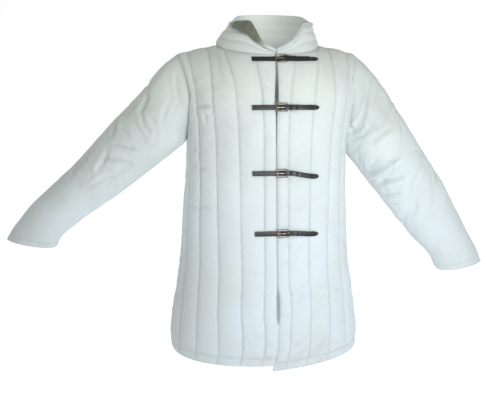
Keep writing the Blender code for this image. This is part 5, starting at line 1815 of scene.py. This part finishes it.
class Fastening:
    """One strap with its tab, frame and prong."""

    EDGE_ROUND = 0.00055
    STEP = 0.0011
    FRAME_CORNER_STEPS = 7
    FRAME_SIDES = 12

    def __init__(self, number: int, closure: Closure, fronts: BVHTree) -> None:
        """Keep the sizes and measure the strap's line.

        Args:
            number: The closure's number from the top.
            closure: Its sizes.
            fronts: The fronts' solids.
        """
        self.number, self.closure = number, closure
        self.line = StrapLine(closure, fronts)
        self.bar_out = TAB_THICK + SEAM_GAP + FRAME_WIRE
        self.far_bar_out = STRAP_THICK + SEAM_GAP * 2 + FRAME_WIRE

    def _return_out(self, step: int) -> float:
        """Height of the middle of the tab's upper layer, a number of steps past the bar."""
        return 2 * TAB_THICK + SEAM_GAP - TAB_THICK / 2 + TAB_RETURN_RISE[step - 1]

    def tab_stops(self) -> list[Stop]:
        """The folded leather that holds the frame: along the cloth, round the bar and back."""
        bar, radius = self.closure.bar_x, FRAME_WIRE + SEAM_GAP + TAB_THICK / 2
        stops = [Stop(bar + STRAP_STEP * i, TAB_THICK / 2) for i in range(TAB_STEPS, 0, -1)]
        for turn in np.radians(np.linspace(-90, -270, TAB_TURN_STEPS)):
            stops.append(Stop(bar + radius * math.cos(turn), self.bar_out + radius * math.sin(turn)))
        behind = [Stop(bar + STRAP_STEP * i, self._return_out(i)) for i in range(1, TAB_RETURN_STEPS + 1)]
        return stops + behind

    def _past_bar(self, step: int) -> float:
        """Height of the strap's middle past the bar, on the tab and then on the cloth."""
        half = STRAP_THICK / 2
        if step <= TAB_RETURN_STEPS:
            return self._return_out(step) + TAB_THICK / 2 + LEATHER_PLAY + half
        return TAB_THICK + LEATHER_PLAY + half if step <= TAB_STEPS else half

    def strap_stops(self) -> list[Stop]:
        """The long strap: along the right front, under the frame, over its bar and on to its point."""
        half, bar = STRAP_THICK / 2, self.closure.bar_x
        flat_end = bar - FRAME_LENGTH + RISE_START
        count = round((flat_end - self.closure.left_end) / STRAP_STEP)
        stops = [Stop(x, half) for x in np.linspace(self.closure.left_end, flat_end, count)]
        over = self.bar_out + FRAME_WIRE + SEAM_GAP + TAB_THICK + SEAM_GAP + half
        for t in np.arange(1, RISE_STEPS + 1) / RISE_STEPS:
            height = half + (over - half) * float(smoothstep(t, 0, 1))
            stops.append(Stop(flat_end + (bar - RISE_CLEAR - flat_end) * t, height))
        stops.append(Stop(bar + CREST_PAST, over + CREST_UP))
        steps = int((self.closure.right_end - TAIL_TAPER - bar) / STRAP_STEP)
        stops += [Stop(bar + STRAP_STEP * i, self._past_bar(i)) for i in range(1, steps + 1)]
        return stops + [Stop(self.closure.right_end - TAIL_TAPER * back, half, width)
                        for back, width in TAIL_SHAPE]

    def prong_stops(self) -> list[Stop]:
        """The prong: round the bar, up through the strap and on to the frame's far side."""
        bar, radius = self.closure.bar_x, FRAME_WIRE + SEAM_GAP + PRONG_THICK / 2
        stops = [Stop(bar + radius * math.cos(turn), self.bar_out + radius * math.sin(turn))
                 for turn in np.radians(np.linspace(*PRONG_TURNS, PRONG_TURN_STEPS))]
        rest = self.far_bar_out + FRAME_WIRE + SEAM_GAP + PRONG_THICK / 2
        far = bar - FRAME_LENGTH
        return stops + [Stop(bar - 0.008, rest + 0.0004, 0.95), Stop(far + 0.006, rest + 0.0001, 0.85),
                        Stop(far - 0.0012, rest, 0.7)]

    def _band(self, name: str, stops: list[Stop], thick: float, width: float, corner: float,
              material: bpy.types.Material) -> bpy.types.Object:
        """A band with rounded edges along its stops, smoothly drawn between them."""
        path = np.array([(s.x, s.out, s.width) for s in stops])
        steps = np.hypot(*np.diff(path[:, :2], axis=0).T)
        walked = np.concatenate([[0.0], np.cumsum(steps)])
        at = np.linspace(0, walked[-1], max(8, int(walked[-1] / self.STEP)))
        slopes = np.gradient(path, walked, axis=0)
        i = np.clip(np.searchsorted(walked, at, side="right") - 1, 0, len(walked) - 2)
        step = (walked[i + 1] - walked[i])[:, None]
        t = ((at - walked[i]) / step[:, 0])[:, None]
        drawn = hermite(path[i], slopes[i] * step, path[i + 1], slopes[i + 1] * step, t)
        tangent = unit(np.gradient(drawn[:, :2], axis=0))
        turn = np.radians(np.array([10, 35, 60, 85]))
        quarter = np.stack([np.cos(turn), np.sin(turn)], axis=1)
        half_wide, half_thick = (width / 2 * np.clip(drawn[:, 2], 0.2, 1.0))[:, None], thick / 2
        up, through = [], []
        for sign_up, sign_through, order in ((1, 1, 1), (-1, 1, -1), (-1, -1, 1), (1, -1, -1)):
            arc = quarter[::order]
            up.append(sign_up * (half_wide - corner + corner * arc[:, 0]))
            through.append(sign_through * (half_thick - corner + corner * arc[:, 1])
                           * np.ones_like(half_wide))
        up, through = np.concatenate(up, axis=1), np.concatenate(through, axis=1)
        x = drawn[:, :1] - tangent[:, 1:] * through
        out = drawn[:, 1:2] + tangent[:, :1] * through
        ring = self.line.place(x, out, up)
        return self._tube(name, ring, False, material)

    def _tube(self, name: str, ring: Array, closed: bool, material: bpy.types.Material) -> bpy.types.Object:
        """Close rings of points into a tube, capped or joined end to end."""
        many, sides = ring.shape[:2]
        index = np.arange(many * sides).reshape(many, sides)
        if closed:
            index = np.concatenate([index, index[:1]])
        beside = np.roll(index, -1, axis=1)
        quads = np.stack([index[:-1], beside[:-1], beside[1:], index[1:]], axis=-1).reshape(-1, 4)
        faces = quads.tolist()
        if not closed:
            faces += [index[0, ::-1].tolist(), index[-1].tolist()]
        data = bpy.data.meshes.new(name)
        data.from_pydata(ring.reshape(-1, 3).tolist(), [], faces)
        data.validate()
        body = bmesh.new()
        body.from_mesh(data)
        bmesh.ops.recalc_face_normals(body, faces=list(body.faces))
        body.to_mesh(data)
        body.free()
        data.shade_smooth()
        data.set_sharp_from_angle(angle=math.radians(50))
        data.materials.append(material)
        thing = bpy.data.objects.new(name, data)
        bpy.context.scene.collection.objects.link(thing)
        return thing

    def _frame(self, name: str, material: bpy.types.Material) -> bpy.types.Object:
        """The frame: a round wire bent to a rectangle with rounded corners."""
        centre = self.closure.bar_x - FRAME_LENGTH / 2
        route = []
        for quarter, (sign_x, sign_up) in enumerate(((1, 1), (-1, 1), (-1, -1), (1, -1))):
            for turn in np.radians(90 * quarter + np.linspace(0, 90, self.FRAME_CORNER_STEPS)):
                route.append((centre + sign_x * (FRAME_LENGTH / 2 - FRAME_CORNER) + FRAME_CORNER * math.cos(turn),
                              sign_up * (FRAME_WIDTH / 2 - FRAME_CORNER) + FRAME_CORNER * math.sin(turn)))
        route = np.array(route)
        along = unit(np.roll(route, -1, axis=0) - np.roll(route, 1, axis=0))
        side = np.stack([along[:, 1], -along[:, 0]], axis=1)
        share = (route[:, 0] - (centre - FRAME_LENGTH / 2)) / FRAME_LENGTH
        height = self.far_bar_out + (self.bar_out - self.far_bar_out) * share
        turn = 2 * math.pi * np.arange(self.FRAME_SIDES) / self.FRAME_SIDES
        x = route[:, :1] + side[:, :1] * np.cos(turn) * FRAME_WIRE
        up = route[:, 1:] + side[:, 1:] * np.cos(turn) * FRAME_WIRE + self.closure.lift
        out = height[:, None] + FRAME_WIRE * np.sin(turn)
        return self._tube(name, self.line.place(x, out, up), True, material)

    def build(self, finishes: Finishes) -> None:
        """Make the strap, tab, frame and prong with the strap's sewing.

        Args:
            finishes: The materials.
        """
        n = self.number
        leather, metal = finishes.leather, finishes.brass
        made = {
            f"strap_{n}": (self._band(f"leather_strap_{n}", self.strap_stops(), STRAP_THICK, STRAP_WIDTH,
                                      self.EDGE_ROUND, leather), "leather"),
            f"buckle_tab_{n}": (self._band(f"leather_tab_{n}", self.tab_stops(), TAB_THICK, STRAP_WIDTH,
                                           self.EDGE_ROUND, leather), "leather"),
            f"buckle_frame_{n}": (self._frame(f"wire_frame_{n}", metal), "brass"),
            f"buckle_prong_{n}": (self._band(f"wire_prong_{n}", self.prong_stops(), PRONG_THICK, PRONG_WIDTH,
                                             PRONG_THICK * 0.45, metal), "brass"),
        }
        for node, (thing, slot) in made.items():
            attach(thing, "root")
            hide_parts(node)
        self._sew(finishes)
        LOG.info("fastening %d at z %.3f", n, self.closure.z)

    def _sew(self, finishes: Finishes) -> None:
        """Sew down the strap's end on the right front."""
        stitching = Stitching(pitch=0.0034, length=0.0025, radius=0.00032)
        left, reach = self.closure.left_end, 0.028
        inset, out = STRAP_WIDTH / 2 - 0.0022, STRAP_THICK
        corners = [(left + 0.0025, inset), (left + reach, inset), (left + reach, -inset), (left + 0.0025, -inset),
                   (left + 0.0025, inset)]
        for (x0, up0), (x1, up1) in zip(corners, corners[1:]):
            t = np.linspace(0, 1, 24)
            x, up = x0 + (x1 - x0) * t, up0 + (up1 - up0) * t
            line = self.line.place(x, out, up)
            stitching.sew(line, unit(self.line.place(x, out + 0.001, up) - line))
        sewn = stitching.finish(f"strap_sewing_{self.number}")
        sewn.data.materials.append(finishes.dark_thread)
        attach(sewn, "root")


@dataclass
class Studio:
    """Camera, lights, air and floor."""

    eye: tuple = (-0.391, -2.469, -0.05)
    turned: float = 9.0
    down: float = 9.07
    lens: float = 61.4
    shift: float = -0.034
    floor_z: float = -1.45
    floor_front: tuple = (0.06, 0.07, 0.09)
    floor_behind: tuple = (0.70, 0.70, 0.70)
    front_air: float = 0.43
    back_air: float = 1.03

    def build(self) -> None:
        """Set the camera up and light the room."""
        scene = bpy.context.scene
        scene.view_settings.view_transform = "Standard"
        scene.view_settings.look = "None"
        turned, down = math.radians(self.turned), math.radians(self.down)
        ahead = Vector((math.sin(turned) * math.cos(down), math.cos(turned) * math.cos(down),
                        -math.sin(down)))
        data = bpy.data.cameras.new("camera")
        data.lens, data.sensor_width, data.shift_x = self.lens, 36.0, self.shift
        camera = bpy.data.objects.new("camera", data)
        camera.location = self.eye
        camera.rotation_euler = ahead.to_track_quat("-Z", "Y").to_euler()
        scene.collection.objects.link(camera)
        scene.camera = camera
        self._light("key", (0.26, -1.15, -0.34), (0.10, 0.0, -0.38), 5.6, 0.36, (0.96, 1.0, 1.02))
        self._light("side", (1.25, -1.15, -0.60), (0.45, 0.0, -0.50), 1.6, 0.4, (0.90, 1.0, 1.16))
        self._light("top", (0.0, -2.20, 0.70), (0.0, 0.0, 0.0), 5.6, 0.5, (1.0, 1.0, 0.80))
        self._light("back", (-0.9, 2.6, 1.1), (0.0, 0.0, -0.4), 3.5, 0.8, (1.0, 1.0, 1.0))
        self._spot("neck", (0.03, -1.0, 0.60), (0.0, 0.075, 0.050), 40.0, 9.0, (1.0, 1.0, 0.98))
        self._air(scene, ahead)
        self._floor()

    @staticmethod
    def _light(name: str, place: tuple, target: tuple, power: float, size: float, color: tuple) -> None:
        """Add a soft square light that faces a target."""
        data = bpy.data.lights.new(name, "AREA")
        data.energy, data.size, data.color = power, size, color
        lamp = bpy.data.objects.new(name, data)
        lamp.location = place
        lamp.rotation_euler = (Vector(target) - Vector(place)).to_track_quat("-Z", "Y").to_euler()
        lamp.visible_camera = False
        bpy.context.scene.collection.objects.link(lamp)

    @staticmethod
    def _spot(name: str, place: tuple, target: tuple, power: float, angle: float, color: tuple) -> None:
        """Add a soft-edged spot light with a cone of some degrees."""
        data = bpy.data.lights.new(name, "SPOT")
        data.energy, data.color, data.shadow_soft_size = power, color, 0.10
        data.spot_size, data.spot_blend = math.radians(angle), 0.8
        lamp = bpy.data.objects.new(name, data)
        lamp.location = place
        lamp.rotation_euler = (Vector(target) - Vector(place)).to_track_quat("-Z", "Y").to_euler()
        lamp.visible_camera = False
        bpy.context.scene.collection.objects.link(lamp)

    def _air(self, scene: bpy.types.Scene, ahead: Vector) -> None:
        """Pale air all round, white where the backdrop would stand."""
        world = bpy.data.worlds.new("studio air")
        scene.world = world
        world.use_nodes = True
        shader = Shader("air", world.node_tree)
        way = shader.node("ShaderNodeTexCoord").outputs["Generated"]
        facing = shader.node("ShaderNodeVectorMath", {"operation": "DOT_PRODUCT"}, {0: way, 1: tuple(ahead)})
        facing = Value(shader, facing.outputs["Value"])
        high = Value(shader, shader.node("ShaderNodeSeparateXYZ", {}, {0: way}).outputs[2])
        color = shader.mix(high.clamped(-0.4, 0.4), (0.95, 0.97, 1.0), (1.0, 1.0, 0.95))
        color = shader.mix(facing.clamped(0.30, 0.90), color, (1.0, 1.0, 1.0))
        strength = facing.clamped(0.84, 0.94, self.front_air, self.back_air)
        shader.fill(world.node_tree.nodes["Background"], {"Color": color, "Strength": strength})

    def _floor(self) -> None:
        """A plain pale floor below the coat, brighter behind it."""
        reach, z = 60.0, self.floor_z
        points = np.array([(-reach, -reach, z), (reach, -reach, z), (reach, reach, z), (-reach, reach, z)])
        floor = Piece.mesh("floor", points, np.array([[0, 1, 2, 3]]))
        shader = Shader("pale floor")
        place = shader.node("ShaderNodeTexCoord").outputs["Object"]
        behind = Value(shader, shader.node("ShaderNodeSeparateXYZ", {}, {0: place}).outputs[1])
        glow = shader.mix(behind.clamped(-1.6, 1.0), self.floor_front, self.floor_behind)
        shader.fill(shader.principled, {"Base Color": (0.90, 0.91, 0.92), "Roughness": 0.95,
                                        "Specular IOR Level": 0.1, "Emission Color": glow,
                                        "Emission Strength": 1.0})
        floor.data.materials.append(shader.material)


def front_solids() -> BVHTree:
    """The fronts' solids as one tree for ray casts."""
    points, faces = [], []
    for side in Side:
        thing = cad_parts[f"front_{side.word}"]
        base = len(points)
        points += [thing.matrix_world @ v.co for v in thing.data.vertices]
        faces += [[base + i for i in face.vertices] for face in thing.data.polygons]
    return BVHTree.FromPolygons(points, faces)


def main() -> None:
    """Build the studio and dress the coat."""
    logging.basicConfig(level=logging.INFO, format="%(name)s: %(message)s")
    Studio().build()
    finishes = Finishes()
    body = Body(Torso())
    body.build(finishes)
    for side in Side:
        Sleeve(side, body.panels[Face.FRONT, side], body.panels[Face.BACK, side]).build(finishes)
    Collar(body.panels).build(finishes)
    fronts = front_solids()
    for number, closure in enumerate(CLOSURES, start=1):
        Fastening(number, closure, fronts).build(finishes)


if __name__ == "__main__":
    main()
